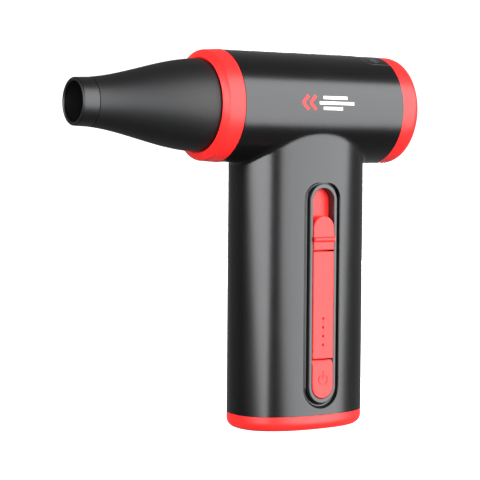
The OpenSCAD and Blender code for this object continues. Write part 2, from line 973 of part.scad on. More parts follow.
// ---------- Battery ----------

module cell(i) {
    color([0.15, 0.45, 0.35]) translate([(i - 1) * cell_pitch, pack_y, cell_low]) {
        cylinder(r = cell_r, h = cell_h - cell_button_h);
        cylinder(r = 0.4 * cell_r, h = cell_h);
    }
}

module cell_1() { cell(0); }

module cell_2() { cell(1); }

module cell_3() { cell(2); }

// A row of three cups with an end plate and a slot for the links, trimmed to go in the handle
module cell_holder(low, plate_low) {
    cup_low = low < plate_low ? low - past : low + holder_floor;
    color([0.85, 0.85, 0.8]) difference() {
        intersection() {
            translate([0, pack_y, low]) linear_extrude(holder_h) {
                for (i = [-1:1]) translate([i * cell_pitch, 0]) circle(holder_r);
                translate([-cell_pitch, -holder_r]) square([2 * cell_pitch, 2 * holder_r]);
            }
            translate([0, 0, low - past]) linear_extrude(holder_h + 2 * past) grip_outline(wall + fit_gap);
        }
        for (i = [-1:1]) translate([i * cell_pitch, pack_y, cup_low])
            cylinder(r = cell_r + seat_gap, h = holder_h - holder_floor + past);
        translate([-cell_pitch - link_slot_w / 2, pack_y - link_slot_w / 2, low - past])
            cube([2 * cell_pitch + link_slot_w, link_slot_w, holder_h + 2 * past]);
    }
}

module lower_cell_holder() { cell_holder(pack_low, pack_low); }

module upper_cell_holder() { cell_holder(pack_high - holder_h, pack_high - holder_floor); }

module lower_cell_links() {
    color([0.8, 0.8, 0.82]) {
        link(-1.5, 1, cell_low - link_t);
        link(0.5, 1.5, cell_low - link_t);
    }
}

module upper_cell_links() {
    color([0.8, 0.8, 0.82]) {
        link(-1, -0.5, cell_top);
        link(0, 1, cell_top);
    }
}

// A flat strip from one place in the row to another, counted in cells
module link(from, to, z) {
    half = cell_pitch + link_w / 2;
    low = max(from * cell_pitch, -half);
    high = min(to * cell_pitch, half);
    translate([low, pack_y - link_w / 2, z]) cube([high - low, link_w, link_t]);
}

module battery_leads() {
    color([0.7, 0.05, 0.05]) for (x = [-lead_x, lead_x])
        translate([x, controller_y + controller_t / 2, cell_top + link_t])
            cylinder(r = lead_r, h = controller_low - cell_top - link_t);
}

// ---------- Motor controller ----------

module motor_controller_board() {
    color([0.05, 0.3, 0.15]) difference() {
        translate([-controller_half_w, controller_y, controller_low])
            cube([2 * controller_half_w, controller_t, controller_high - controller_low]);
        controller_post_places() translate([0, past, 0]) rotate([90, 0, 0])
            cylinder(r = m2_hole_r, h = controller_t + 2 * past);
    }
}

module power_transistors() {
    first_x = -(transistor_count - 1) * transistor_pitch / 2;
    color([0.1, 0.1, 0.1]) for (i = [0:transistor_count - 1])
        translate([first_x + i * transistor_pitch - transistor_w / 2,
                controller_y - transistor_t, controller_low + transistor_z])
            cube([transistor_w, transistor_t, transistor_h]);
}

module filter_capacitors() {
    color([0.2, 0.2, 0.45]) for (x = [-capacitor_x, capacitor_x])
        translate([x, controller_y - capacitor_r, controller_low + capacitor_z])
            cylinder(r = capacitor_r, h = capacitor_h);
}

// A finned block on the back of the controller board
module heat_sink() {
    fin_count = floor(sink_w / sink_fin_pitch);
    edge = (sink_w - (fin_count - 1) * sink_fin_pitch - sink_fin_t) / 2;
    color([0.7, 0.72, 0.74]) translate([-sink_w / 2, controller_y + controller_t, controller_low + sink_z]) {
        cube([sink_w, sink_base_t, sink_h]);
        for (i = [0:fin_count - 1]) translate([edge + i * sink_fin_pitch, sink_base_t - seat_lap, 0])
            cube([sink_fin_t, sink_fin_h + seat_lap, sink_h]);
    }
}

module control_ribbon() {
    color([0.8, 0.8, 0.75]) translate([-ribbon_w / 2, board_back_y, ribbon_z])
        cube([ribbon_w, controller_y - board_back_y, ribbon_t]);
}

module phase_lead_places() {
    for (i = [0:2]) translate([phase_x + i * phase_pitch, controller_y + controller_t / 2, 0]) children();
}

// The leads run up from the controller to the side of the windings
module motor_leads() {
    nearest_y = controller_y + controller_t / 2 - phase_r;
    top_z = axis_z - sqrt(pow(winding_out_r, 2) - pow(nearest_y, 2));
    color([0.1, 0.2, 0.6]) phase_lead_places() translate([0, 0, controller_high])
        cylinder(r = phase_r, h = top_z - controller_high);
}

// ---------- Fan and motor ----------

// The duct, the vanes and the motor's hub in one moulding
module fan_housing() {
    plate_t = bearing_len;
    color([0.3, 0.3, 0.32]) difference() {
        union() {
            to_rear(housing_front_x) tube(duct_out_r, duct_r, housing_rear_x - housing_front_x);
            to_rear(hub_front_x) tube(hub_r, hub_in_r, hub_rear_x - hub_front_x);
            to_rear(hub_front_x) tube(hub_r - 0.5, bearing_r + seat_gap, plate_t);
            to_rear(hub_rear_x - plate_t) tube(hub_r - 0.5, bearing_r + seat_gap, plate_t);
            intersection() {
                to_rear(vane_x - 4) tube(duct_r + 0.5, hub_r - 0.5, vane_len + 8);
                to_rear(vane_x) for (i = [0:vane_count - 1])
                    rotate([0, 0, (i + 0.5) * 360 / vane_count])
                        translate([0, 0, vane_len / 2]) rotate([vane_tilt, 0, 0])
                            translate([0, -vane_t / 2, -vane_len / 2 + 1.5])
                                cube([duct_r + 2, vane_t, vane_len - 3]);
            }
            difference() {
                translate([display_x, -display_seat_w / 2, display_z - display_seat_root])
                    cube([display_len, display_seat_w, display_seat_root]);
                to_rear(housing_front_x) cylinder(r = duct_out_r - seat_lap, h = 2 * housing_rear_x);
            }
        }
        phase_lead_places() translate([0, 0, axis_z - duct_out_r - past])
            cylinder(r = phase_r + seat_gap, h = duct_out_r - hub_in_r + 3 * past);
    }
}

module fan_mount(x) {
    color([0.2, 0.2, 0.2]) to_rear(x) tube(head_in_r - seat_gap, duct_out_r + seat_gap, mount_len);
}

module front_fan_mount() { fan_mount(front_mount_x); }

module rear_fan_mount() { fan_mount(rear_mount_x); }

module stator_core() {
    color([0.5, 0.5, 0.52]) to_rear(core_x) difference() {
        tube(hub_in_r - seat_gap, core_in_r, core_len);
        for (i = [0:coil_count - 1]) rotate([0, 0, (i + 0.5) * 360 / coil_count])
            translate([coil_ring_x, 0, -past]) cylinder(r = coil_slot_r, h = core_len + 2 * past);
    }
}

module stator_windings() {
    color([0.75, 0.4, 0.15]) to_rear(core_x) {
        for (i = [0:coil_count - 1]) rotate([0, 0, (i + 0.5) * 360 / coil_count])
            translate([coil_ring_x, 0, -winding_lap])
                cylinder(r = coil_slot_r - seat_gap, h = core_len + 2 * winding_lap);
        translate([0, 0, -front_turns]) tube(winding_out_r, winding_in_r, front_turns);
        translate([0, 0, core_len]) tube(winding_out_r, winding_in_r, rear_turns);
    }
}

module rotor_magnet() {
    color([0.3, 0.3, 0.33]) to_rear(core_x - 1) tube(magnet_r, shaft_r + 0.01, core_len + 2);
}

module motor_shaft() {
    color([0.8, 0.8, 0.82]) to_rear(hub_front_x + seat_lap)
        cylinder(r = shaft_r, h = impeller_x + impeller_len - hub_front_x - 2);
}

module bearing(x) {
    color([0.7, 0.7, 0.72]) to_rear(x) tube(bearing_r, shaft_r + running_gap, bearing_len);
}

module front_bearing() { bearing(hub_front_x); }

module rear_bearing() { bearing(hub_rear_x - bearing_len); }

module impeller() {
    color([0.75, 0.76, 0.78]) to_rear(impeller_x) difference() {
        union() {
            cylinder(r = hub_r - 0.2, h = impeller_len);
            translate([0, 0, impeller_len]) cylinder(r1 = hub_r - 0.2, r2 = 4, h = spinner_len);
            intersection() {
                tube(duct_r - blade_clearance, hub_r - 1.5, impeller_len);
                for (i = [0:blade_count - 1])
                    rotate([0, 0, i * 360 / blade_count])
                        translate([0, 0, impeller_len / 2]) rotate([-blade_tilt, 0, 0])
                            translate([0, -blade_t / 2, -impeller_len])
                                cube([duct_r + 1, blade_t, 2 * impeller_len]);
            }
        }
        translate([0, 0, -past]) cylinder(r = shaft_r + 0.01, h = impeller_len);
    }
}

module tail_cone() {
    color([0.3, 0.3, 0.32]) to_front(hub_front_x) rotate_extrude() polygon([
        [0, 0],
        for (t = [0:10]) [hub_r * cos(t * 9), cone_len * sin(t * 9)]
    ]);
}

module outlet_duct() {
    duct_front_x = front_plane_x + socket_len + duct_seat;
    color([0.2, 0.2, 0.2]) to_rear(duct_front_x) tube(duct_out_r, duct_r, housing_front_x - duct_front_x);
}

// ---------- Nozzle ----------

// Outer radius of the nozzle at a share of its length, from its mouth to the ring
function ogee_r(t) = tip_r + (nozzle_r - tip_r) * ease(clamp(ogee_share(t)));

// The curve starts a little behind the mouth and would end just inside the ring
function ogee_share(t) = (t * nozzle_len - ogee_inset) / (nozzle_len - ogee_inset + ogee_overrun);

function clamp(v) = min(1, max(0, v));

function ease(t) = t * t * (3 - 2 * t);

// Distances are counted forwards from the front ring's face
module nozzle() {
    sleeve_start = nozzle_len - sleeve_len;
    nozzle_end = nozzle_len - sleeve_lip;
    groove_s = o_ring_inset - socket_len;
    color([0.12, 0.12, 0.13]) to_front(front_plane_x) rotate_extrude() polygon([
        for (i = [0:ogee_steps]) let (s = sleeve_start * i / ogee_steps) [ogee_r(1 - s / nozzle_len), s],
        [sleeve_inner_r, sleeve_start],
        [sleeve_inner_r, nozzle_end],
        [bore_r, nozzle_end],
        for (i = [0:ogee_steps]) let (s = sleeve_start * (1 - i / ogee_steps))
            [min(ogee_r(1 - s / nozzle_len) - seam_r + bore_r, spigot_r - spigot_wall), s],
        [spigot_r - spigot_wall, -socket_len + fit_gap],
        [spigot_r, -socket_len + fit_gap],
        [spigot_r, groove_s - o_ring_r],
        [spigot_r - o_ring_r, groove_s - o_ring_r],
        [spigot_r - o_ring_r, groove_s + o_ring_r],
        [spigot_r, groove_s + o_ring_r],
        [spigot_r, 0]
    ]);
}

// A round lip closes the sleeve over the end of the nozzle
module nozzle_tip_sleeve() {
    sleeve_start = nozzle_len - sleeve_len;
    nozzle_end = nozzle_len - sleeve_lip;
    lip_r = nozzle_wall / 2;
    color([0.1, 0.1, 0.1]) to_front(front_plane_x) rotate_extrude() polygon([
        [sleeve_inner_r, sleeve_start],
        [tip_r, sleeve_start],
        for (i = [0:lip_steps]) let (a = i * 180 / lip_steps)
            [tip_r - lip_r + lip_r * cos(a), nozzle_len - lip_r + lip_r * sin(a)],
        [bore_r, nozzle_end],
        [sleeve_inner_r, nozzle_end]
    ]);
}

module nozzle_o_ring() {
    groove_s = o_ring_inset - socket_len;
    color([0.05, 0.05, 0.05]) to_front(front_plane_x) translate([0, 0, groove_s]) rotate_extrude()
        translate([spigot_r - o_ring_r / 2 + fit_gap / 2, 0]) circle(r = o_ring_r / 2, $fn = 24);
}

// ---------- Screws ----------

module shell_screws() {
    color([0.6, 0.6, 0.62]) shell_screw_places() translate([0, shell_screw_y, 0]) rotate([90, 0, 0])
        screw(screw_r, shell_screw_len, screw_head_r, screw_head_h);
}

module base_screws() {
    color([0.6, 0.6, 0.62]) base_screw_places() translate([0, 0, base_well])
        screw(screw_r, cap_h - base_well + base_screw_len - past, screw_head_r, screw_head_h);
}

nozzle();
nozzle_tip_sleeve();
nozzle_o_ring();
front_ring();
control_side_shell();
plain_side_shell();
rear_ring();
intake_grille();
intake_filter();
base_cap();
control_bezel();
slider_track();
speed_slider();
slider_lever();
slide_potentiometer();
indicator_strip();
light_pipes();
indicator_leds();
power_button();
power_switch();
switch_plunger();
control_board();
board_screws();
display_window();
display_board();
display_module();
charging_port();
charging_board();
cell_1();
cell_2();
cell_3();
lower_cell_holder();
upper_cell_holder();
lower_cell_links();
upper_cell_links();
battery_leads();
motor_controller_board();
power_transistors();
filter_capacitors();
heat_sink();
control_ribbon();
motor_leads();
fan_housing();
front_fan_mount();
rear_fan_mount();
stator_core();
stator_windings();
rotor_magnet();
motor_shaft();
front_bearing();
rear_bearing();
impeller();
tail_cone();
outlet_duct();
shell_screws();
base_screws();
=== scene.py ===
"""Cordless car dryer blower: the visible skins, controls and finishes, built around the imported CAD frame."""

import json
import math

import bmesh
import bpy
import numpy as np
from bpy.props import FloatProperty, FloatVectorProperty, PointerProperty
from mathutils import Matrix, Vector


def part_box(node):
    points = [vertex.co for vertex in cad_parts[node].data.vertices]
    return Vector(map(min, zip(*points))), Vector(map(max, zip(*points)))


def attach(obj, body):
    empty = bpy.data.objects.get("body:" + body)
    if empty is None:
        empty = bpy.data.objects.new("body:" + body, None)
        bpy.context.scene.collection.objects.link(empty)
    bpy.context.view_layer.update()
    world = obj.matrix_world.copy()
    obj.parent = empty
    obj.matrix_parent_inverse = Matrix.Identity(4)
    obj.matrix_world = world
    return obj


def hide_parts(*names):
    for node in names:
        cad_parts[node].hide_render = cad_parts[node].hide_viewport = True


bl_info = {
    "name": "Car dryer blower",
    "version": (1, 0, 0),
    "blender": (4, 5, 0),
    "location": "View3D > Sidebar > Blower",
    "description": "Builds the visible pieces of a cordless car dryer blower around its CAD frame",
    "category": "Object",
}

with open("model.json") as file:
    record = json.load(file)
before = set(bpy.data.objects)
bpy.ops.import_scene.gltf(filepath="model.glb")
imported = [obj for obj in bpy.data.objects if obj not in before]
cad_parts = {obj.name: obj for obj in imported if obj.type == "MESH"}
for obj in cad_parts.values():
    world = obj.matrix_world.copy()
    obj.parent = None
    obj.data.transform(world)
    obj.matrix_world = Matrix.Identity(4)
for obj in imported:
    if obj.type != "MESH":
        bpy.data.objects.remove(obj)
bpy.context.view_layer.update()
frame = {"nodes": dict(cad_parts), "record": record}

M = 0.001  # metres in a millimetre
WELD = 2e-6  # points nearer than this are one point, in metres


def node_box(node):
    """(low, high) corners of a CAD node in millimetres."""
    low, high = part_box(node)
    return np.array(low) / M, np.array(high) / M


# ---------- Places read from the frame, in millimetres ----------

shell_low, shell_high = node_box("control_side_shell")
ring_low, ring_high = node_box("front_ring")
rear_high = node_box("rear_ring")[1]
cap_high = node_box("base_cap")[1]
bezel_low, bezel_high = node_box("control_bezel")
track_low = node_box("slider_track")[0]
slider_low, slider_high = node_box("speed_slider")
strip_low, strip_high = node_box("indicator_strip")
button_low, button_high = node_box("power_button")
dots_low, dots_high = node_box("light_pipes")
window_low, window_high = node_box("display_window")
nozzle_high = node_box("nozzle")[1]
sleeve_low, sleeve_high = node_box("nozzle_tip_sleeve")
grille_low, grille_high = node_box("intake_grille")
filter_low, filter_high = node_box("intake_filter")
shell_screws_low, shell_screws_high = node_box("shell_screws")
base_screws_low, base_screws_high = node_box("base_screws")
port_low, port_high = node_box("charging_port")

AXIS_Z = (ring_low[2] + ring_high[2]) / 2
HEAD_R = (ring_high[2] - ring_low[2]) / 2
HEAD_FRONT = shell_low[0]
HEAD_REAR = shell_high[0]
RING_FRONT = ring_low[0]
RING_REAR = rear_high[0]
GRIP_X = cap_high[0]
GRIP_Y = cap_high[1]
CAP_H = shell_low[2]
MOUTH_X = sleeve_low[0]
SEAM_X = sleeve_high[0]
RIM_Y = bezel_low[1]
RED_Y = strip_low[1]
FLOOR_Y = track_low[1]
FLANGE_MARGIN = 3.5  # how far the hidden flange reaches past the bezel's rim
BEZEL_HALF = bezel_high[0] - FLANGE_MARGIN
STADIUM_LOW = bezel_low[2] + FLANGE_MARGIN
STADIUM_HIGH = bezel_high[2] - FLANGE_MARGIN
RED_HALF = strip_high[0]


# ---------- What a user would change ----------


def length(name, text, millimetres):
    """A length that shows in the panel, with its default in millimetres."""
    return FloatProperty(
        name=name, description=text, default=millimetres * M, min=0, unit="LENGTH", precision=5
    )


def colour(name, text, code):
    """A colour that shows in the panel, with its default as an sRGB hex code."""
    return FloatVectorProperty(
        name=name, description=text, default=linear(code), size=4, min=0, max=1, subtype="COLOR"
    )


def linear(code):
    """An sRGB hex code as linear red, green, blue and alpha."""
    parts = [int(code[i : i + 2], 16) / 255 for i in (1, 3, 5)]
    return [c / 12.92 if c <= 0.04045 else ((c + 0.055) / 1.055) ** 2.4 for c in parts] + [1.0]


class BlowerSizes(bpy.types.PropertyGroup):
    """Sizes that the looks add to the CAD frame."""

    skin: length("Skin", "Thickness of the visible casing", 1.6)
    inset: length("Inset", "How far the casing stays inside the head's full radius", 0.12)
    seam: length("Seam", "Gap between two halves or neighbours", 0.14)
    edge: length("Edge", "Rounding of moulded edges", 0.26)
    fillet: length("Fillet", "Radius where the handle's sides meet the head", 1.9)
    front_fillet: length("Front fillet", "Radius where the middle of the handle meets the head", 7.0)
    groove_w: length("Groove width", "Width of the groove around the controls", 2.4)
    groove_depth: length("Groove depth", "Depth of that groove", 2.2)
    groove_round: length("Groove rounding", "Rounding of the groove's outer edge", 0.8)
    rim_w: length("Rim width", "Width of the bezel's rim", 1.7)
    rim_end: length("Rim ends", "Extra width of the rim at its two ends", 0.65)
    key_edge: length("Key edge", "Rounding of the red keys", 0.4)
    cap_round: length("Cap rounding", "Rounding of the base's lower edge", 4.6)
    grip_power: FloatProperty(
        name="Grip squareness", description="Power of the handle's oval, 2 is an ellipse", default=2.37
    )


class BlowerColours(bpy.types.PropertyGroup):
    """Colours of the visible pieces."""

    black: colour("Black", "Casing and nozzle", "#0b0b0c")
    rim: colour("Rim", "Bezel around the controls", "#1b1c1d")
    red: colour("Red", "Rings, base and controls", "#f82a28")
    dots: colour("Lights", "Battery lights", "#b80000")
    ink: colour("Ink", "Printed airflow mark", "#f4f4f2")
    lens: colour("Lens", "Smoked display window", "#0a0b0c")


class BlowerStudio(bpy.types.PropertyGroup):
    """Lamps around the object."""

    key: FloatProperty(name="Key", description="Radiance of the large soft box", default=6.0, min=0)
    strip: FloatProperty(name="Strip", description="Radiance of the side soft box", default=7.8, min=0)
    back: FloatProperty(name="Back", description="Radiance of the soft box behind", default=9.0, min=0)
    fill: FloatProperty(name="Fill", description="Brightness of the room in front", default=0.08, min=0)
    rear_fill: FloatProperty(
        name="Rear fill", description="Brightness of the room behind", default=0.3, min=0
    )


def sizes():
    return bpy.context.scene.blower_sizes


def colours():
    return bpy.context.scene.blower_colours


def studio():
    return bpy.context.scene.blower_studio


# ---------- Curves and outlines, in millimetres ----------


def sign_power(v, power):
    return math.copysign(abs(v) ** power, v)


def grip_depth(x):
    """How far the handle's surface is from the parting plane at x."""
    power = sizes().grip_power
    return GRIP_Y * max(0.0, 1 - abs(x / GRIP_X) ** power) ** (1 / power)


def grip_columns(breaks, counts):
    """Places across the handle, even along its surface between the breaks."""
    power = sizes().grip_power
    t = np.linspace(0, math.pi, 20001)
    x = -GRIP_X * np.sign(np.cos(t)) * np.abs(np.cos(t)) ** (2 / power)
    y = GRIP_Y * np.abs(np.sin(t)) ** (2 / power)
    run = np.concatenate([[0], np.cumsum(np.hypot(np.diff(x), np.diff(y)))])
    places = []
    for (a, b), n in zip(zip(breaks, breaks[1:]), counts):
        ra, rb = np.interp([a, b], x, run)
        places += list(np.interp(np.linspace(ra, rb, n + 1)[:-1], run, x))
    return places + [breaks[-1]]


def spread(breaks, counts):
    """Numbers that run through the breaks, with so many even steps between each two."""
    places = []
    for (a, b), n in zip(zip(breaks, breaks[1:]), counts):
        places += list(np.linspace(a, b, n + 1)[:-1])
    return places + [breaks[-1]]


def along(points, count):
    """count + 1 points, even along a polyline."""
    points = np.array(points, float)
    run = np.concatenate([[0], np.cumsum(np.linalg.norm(np.diff(points, axis=0), axis=1))])
    places = np.linspace(0, run[-1], count + 1)
    return [tuple(np.interp(s, run, points[:, k]) for k in range(points.shape[1])) for s in places]


def arc(cx, cy, r, start, end, steps):
    """Points on an arc, with angles in degrees."""
    angles = np.radians(np.linspace(start, end, steps + 1))
    return [(cx + r * math.cos(a), cy + r * math.sin(a)) for a in angles]


ARC_STEPS = 6  # points of a slot's side that belong to each of its arcs


def stadium(half, n_end, n_side, end=0.0):
    """An upright slot with round ends around the controls: its corners are at 45 degrees on the
    ends, and it runs along the bottom, up the right, along the top and down the left. end draws
    both ends in. Every point moves evenly as half and end change."""
    grow = half - BEZEL_HALF
    low = STADIUM_LOW - grow + half + end
    high = STADIUM_HIGH + grow - half - end
    straight = [(half, z) for z in np.linspace(low, high, n_side - 2 * ARC_STEPS + 1)]
    side = arc(0, low, half, -45, 0, ARC_STEPS)[:-1] + straight + arc(0, high, half, 0, 45, ARC_STEPS)[1:]
    left = [(-x, z) for x, z in reversed(side)]
    bottom = arc(0, low, half, 225, 315, n_end)
    top = arc(0, high, half, 45, 135, n_end)
    return bottom[:-1] + side[:-1] + top[:-1] + left[:-1]


def soften(corners, radii, steps=5):
    """A closed outline whose corners are rounded, each by its own radius."""
    outline = []
    count = len(corners)
    for i, radius in enumerate(radii):
        here = np.array(corners[i], float)
        if radius <= 0:
            outline.append(tuple(here))
            continue
        back = np.array(corners[i - 1], float) - here
        ahead = np.array(corners[(i + 1) % count], float) - here
        back_len, ahead_len = np.linalg.norm(back), np.linalg.norm(ahead)
        back, ahead = back / back_len, ahead / ahead_len
        half = math.acos(max(-1.0, min(1.0, float(back @ ahead)))) / 2
        reach = min(radius / math.tan(half), 0.49 * back_len, 0.49 * ahead_len)
        radius = reach * math.tan(half)
        centre = here + (back + ahead) / np.linalg.norm(back + ahead) * radius / math.sin(half)
        start, end = here + back * reach - centre, here + ahead * reach - centre
        for t in np.linspace(0, 1, steps + 1):
            ray = start * (1 - t) + end * t
            outline.append(tuple(centre + ray / np.linalg.norm(ray) * radius))
    return outline


# ---------- Meshes ----------


class Skin:
    """Gathers strips of quads, in millimetres."""

    def __init__(self):
        self.points = []
        self.faces = []

    def loft(self, lines, closed=False, around=False):
        """Joins each line of points to the next.

        closed joins a line's ends, and around joins the last line to the first.
        """
        start, width = len(self.points), len(lines[0])
        for line in lines:
            self.points.extend(tuple(map(float, p)) for p in line)
        rows = len(lines) if around else len(lines) - 1
        for j in range(rows):
            a = start + j * width
            b = start + (j + 1) % len(lines) * width
            for i in range(width if closed else width - 1):
                k = (i + 1) % width
                self.faces.append((a + i, a + k, b + k, b + i))

    def fill(self, line):
        """One flat face inside a closed line."""
        start = len(self.points)
        self.points.extend(tuple(map(float, p)) for p in line)
        self.faces.append(tuple(range(start, start + len(line))))

    def bmesh(self):
        bm = bmesh.new()
        verts = [bm.verts.new(Vector(p) * M) for p in self.points]
        for face in self.faces:
            corners = [verts[i] for i in face]
            if len(set(corners)) > 2:
                bm.faces.new(corners)
        bmesh.ops.remove_doubles(bm, verts=bm.verts, dist=WELD)
        bmesh.ops.dissolve_degenerate(bm, edges=bm.edges, dist=WELD / 4)
        bmesh.ops.recalc_face_normals(bm, faces=bm.faces)
        return bm


def face_outwards(bm, centre=None):
    """Turns an open skin so that its faces look away from its middle."""
    middle = centre or sum((v.co for v in bm.verts), Vector()) / len(bm.verts)
    total = sum(f.normal.dot(f.calc_center_median() - middle) * f.calc_area() for f in bm.faces)
    if total < 0:
        bmesh.ops.reverse_faces(bm, faces=bm.faces)


def piece(name, bm, smooth=True):
    """An object made of the bmesh, in the scene."""
    mesh = bpy.data.meshes.new(name)
    bm.to_mesh(mesh)
    bm.free()
    mesh.polygons.foreach_set("use_smooth", [smooth] * len(mesh.polygons))
    obj = bpy.data.objects.new(name, mesh)
    bpy.context.scene.collection.objects.link(obj)
    return obj


def apply_modifiers(obj):
    """Turns an object's evaluated shape into its plain mesh."""
    bpy.context.view_layer.update()
    graph = bpy.context.evaluated_depsgraph_get()
    mesh = bpy.data.meshes.new_from_object(obj.evaluated_get(graph))
    old = obj.data
    obj.modifiers.clear()
    obj.data = mesh
    bpy.data.meshes.remove(old)
    obj.data.name = obj.name
    return obj


def thicken(obj, thickness):
    """Gives an open skin its wall, inwards, in millimetres."""
    solid = obj.modifiers.new("wall", "SOLIDIFY")
    solid.thickness = thickness * M
    solid.offset = -1
    solid.use_even_offset = True
    return obj


def cut(obj, cutters):
    """Takes closed meshes away from a piece, then removes them."""
    for cutter in cutters:
        saw = obj.modifiers.new("cut", "BOOLEAN")
        saw.operation = "DIFFERENCE"
        saw.solver = "EXACT"
        saw.object = cutter
    apply_modifiers(obj)
    for cutter in cutters:
        bpy.data.objects.remove(cutter)
    return obj


def join_solid(obj, other):
    """Adds a closed mesh to a piece, then removes it."""
    weld = obj.modifiers.new("join", "BOOLEAN")
    weld.operation = "UNION"
    weld.solver = "EXACT"
    weld.object = other
    apply_modifiers(obj)
    bpy.data.objects.remove(other)
    return obj


def round_edges(obj, radius, segments=2, angle=35):
    """Rounds every sharp edge by a radius in millimetres and evens the shading next to it."""
    if radius > 0:
        bevel = obj.modifiers.new("edges", "BEVEL")
        bevel.width = radius * M
        bevel.segments = segments
        bevel.limit_method = "ANGLE"
        bevel.angle_limit = math.radians(angle)
        bevel.miter_outer = "MITER_ARC"
        bevel.harden_normals = False
    even = obj.modifiers.new("shading", "WEIGHTED_NORMAL")
    even.weight = 80
    even.keep_sharp = False
    return apply_modifiers(obj)


def ready(obj, material, node_names, body):
    """The last step for a piece: its finish, the nodes it stands for and the body it rides on."""
    obj.data.materials.clear()
    obj.data.materials.append(material)
    if node_names:
        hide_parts(*node_names)
    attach(obj, body)
    return obj


def lathe(name, profile, segments=192):
    """Turns a closed profile of (x, radius) points about the head's axis."""
    skin = Skin()
    turns = np.linspace(0, 2 * math.pi, segments, endpoint=False)
    rings = [[(x, r * math.sin(t), AXIS_Z + r * math.cos(t)) for t in turns] for x, r in profile]
    skin.loft(rings, closed=True, around=True)
    return piece(name, skin.bmesh())


def prism(name, outline, low_y, high_y):
    """A closed outline in X and Z, given depth along Y."""
    skin = Skin()
    front = [(x, low_y, z) for x, z in outline]
    back = [(x, high_y, z) for x, z in outline]
    skin.loft([front, back], closed=True)
    skin.fill(front)
    skin.fill(back)
    return piece(name, skin.bmesh())


def rod(name, start, end, r, segments=32):
    """A closed cylinder between two points."""
    skin = Skin()
    start, end = Vector(start), Vector(end)
    side = (end - start).orthogonal().normalized()
    other = (end - start).cross(side).normalized()
    turns = np.linspace(0, 2 * math.pi, segments, endpoint=False)
    rings = [
        [tuple(c + (side * math.cos(t) + other * math.sin(t)) * r) for t in turns] for c in (start, end)
    ]
    skin.loft(rings, closed=True)
    for ring in rings:
        skin.fill(ring)
    return piece(name, skin.bmesh(), smooth=False)


# ---------- Materials ----------


def add(tree, kind, values=None, links=None, **settings):
    """Adds a node with its settings, its input values and the links into it."""
    node = tree.nodes.new(kind)
    for key, value in settings.items():
        setattr(node, key, value)
    for key, value in (values or {}).items():
        node.inputs[key].default_value = value
    for key, source in (links or {}).items():
        tree.links.new(source, node.inputs[key])
    return node


def new_material(name):
    material = bpy.data.materials.new(name)
    material.use_nodes = True
    material.node_tree.nodes.clear()
    return material, material.node_tree


def scale_for(millimetres):
    """The scale of a texture on Object coordinates whose pattern repeats at this size."""
    return 1 / (millimetres * M)


def moulded(name, base, roughness, grain_mm=0.45, depth=0.012, spread_by=0.05, specular=0.5, coat=0.0):
    """Injection-moulded plastic: a fine even spark-eroded grain breaks up the gloss, and the
    gloss drifts slowly over the surface as the tool's polish did."""
    material, tree = new_material(name)
    place = add(tree, "ShaderNodeTexCoord").outputs["Object"]
    grain = add(
        tree,
        "ShaderNodeTexNoise",
        {"Scale": scale_for(grain_mm), "Detail": 2.0, "Roughness": 0.6},
        {"Vector": place},
    )
    drift = add(tree, "ShaderNodeTexNoise", {"Scale": scale_for(28), "Detail": 3.0}, {"Vector": place})
    mottle = add(
        tree,
        "ShaderNodeMath",
        {2: -spread_by / 2},
        {0: drift.outputs["Fac"]},
        operation="MULTIPLY_ADD",
    )
    mottle.inputs[1].default_value = spread_by
    gloss = add(
        tree, "ShaderNodeMath", {1: roughness}, {0: mottle.outputs[0]}, operation="ADD", use_clamp=True
    )
    shade = add(
        tree,
        "ShaderNodeMapRange",
        {"From Min": 0.3, "From Max": 0.7, "To Min": 0.93, "To Max": 1.07},
        {"Value": drift.outputs["Fac"]},
    )
    tint = add(
        tree,
        "ShaderNodeVectorMath",
        {0: base[:3]},
        {"Scale": shade.outputs[0]},
        operation="SCALE",
    )
    bump = add(
        tree,
        "ShaderNodeBump",
        {"Strength": 0.6, "Distance": depth * M},
        {"Height": grain.outputs["Fac"]},
    )
    shader = add(
        tree,
        "ShaderNodeBsdfPrincipled",
        {"IOR": 1.5, "Specular IOR Level": specular, "Coat Weight": coat},
        {"Base Color": tint.outputs[0], "Roughness": gloss.outputs[0], "Normal": bump.outputs[0]},
    )
    add(tree, "ShaderNodeOutputMaterial", links={"Surface": shader.outputs[0]})
    return material


def metal(name, base, roughness, line_mm=0.3, stretch=(1, 1, 1), depth=0.004):
    """Turned, drawn or brushed metal: fine lines stretched along one direction."""
    material, tree = new_material(name)
    place = add(tree, "ShaderNodeTexCoord").outputs["Object"]
    turned = add(tree, "ShaderNodeMapping", {"Scale": stretch}, {"Vector": place})
    lines = add(
        tree,
        "ShaderNodeTexNoise",
        {"Scale": scale_for(line_mm), "Detail": 3.0},
        {"Vector": turned.outputs[0]},
    )
    gloss = add(
        tree,
        "ShaderNodeMapRange",
        {"From Min": 0.3, "From Max": 0.7, "To Min": roughness * 0.8, "To Max": roughness * 1.25},
        {"Value": lines.outputs["Fac"]},
    )
    bump = add(
        tree, "ShaderNodeBump", {"Strength": 0.5, "Distance": depth * M}, {"Height": lines.outputs["Fac"]}
    )
    shader = add(
        tree,
        "ShaderNodeBsdfPrincipled",
        {"Base Color": base, "Metallic": 1.0},
        {"Roughness": gloss.outputs[0], "Normal": bump.outputs[0]},
    )
    add(tree, "ShaderNodeOutputMaterial", links={"Surface": shader.outputs[0]})
    return material


MADE = {}


def finish(name):
    """The material of that name, made once."""
    if name not in MADE:
        MADE[name] = FINISHES[name]()
    return MADE[name]


# Soft-touch ABS, spark-eroded and satin: deep black with broad, clean soft-box highlights
def satin_black_abs():
    return moulded("satin_black_abs", colours().black, 0.24, depth=0.003)


# The nozzle comes off a coarser tool: duller, with a visible grain and a soft broad highlight
def matt_black_abs():
    return moulded("matt_black_abs", colours().black, 0.5, grain_mm=0.6, depth=0.012, specular=0.42)


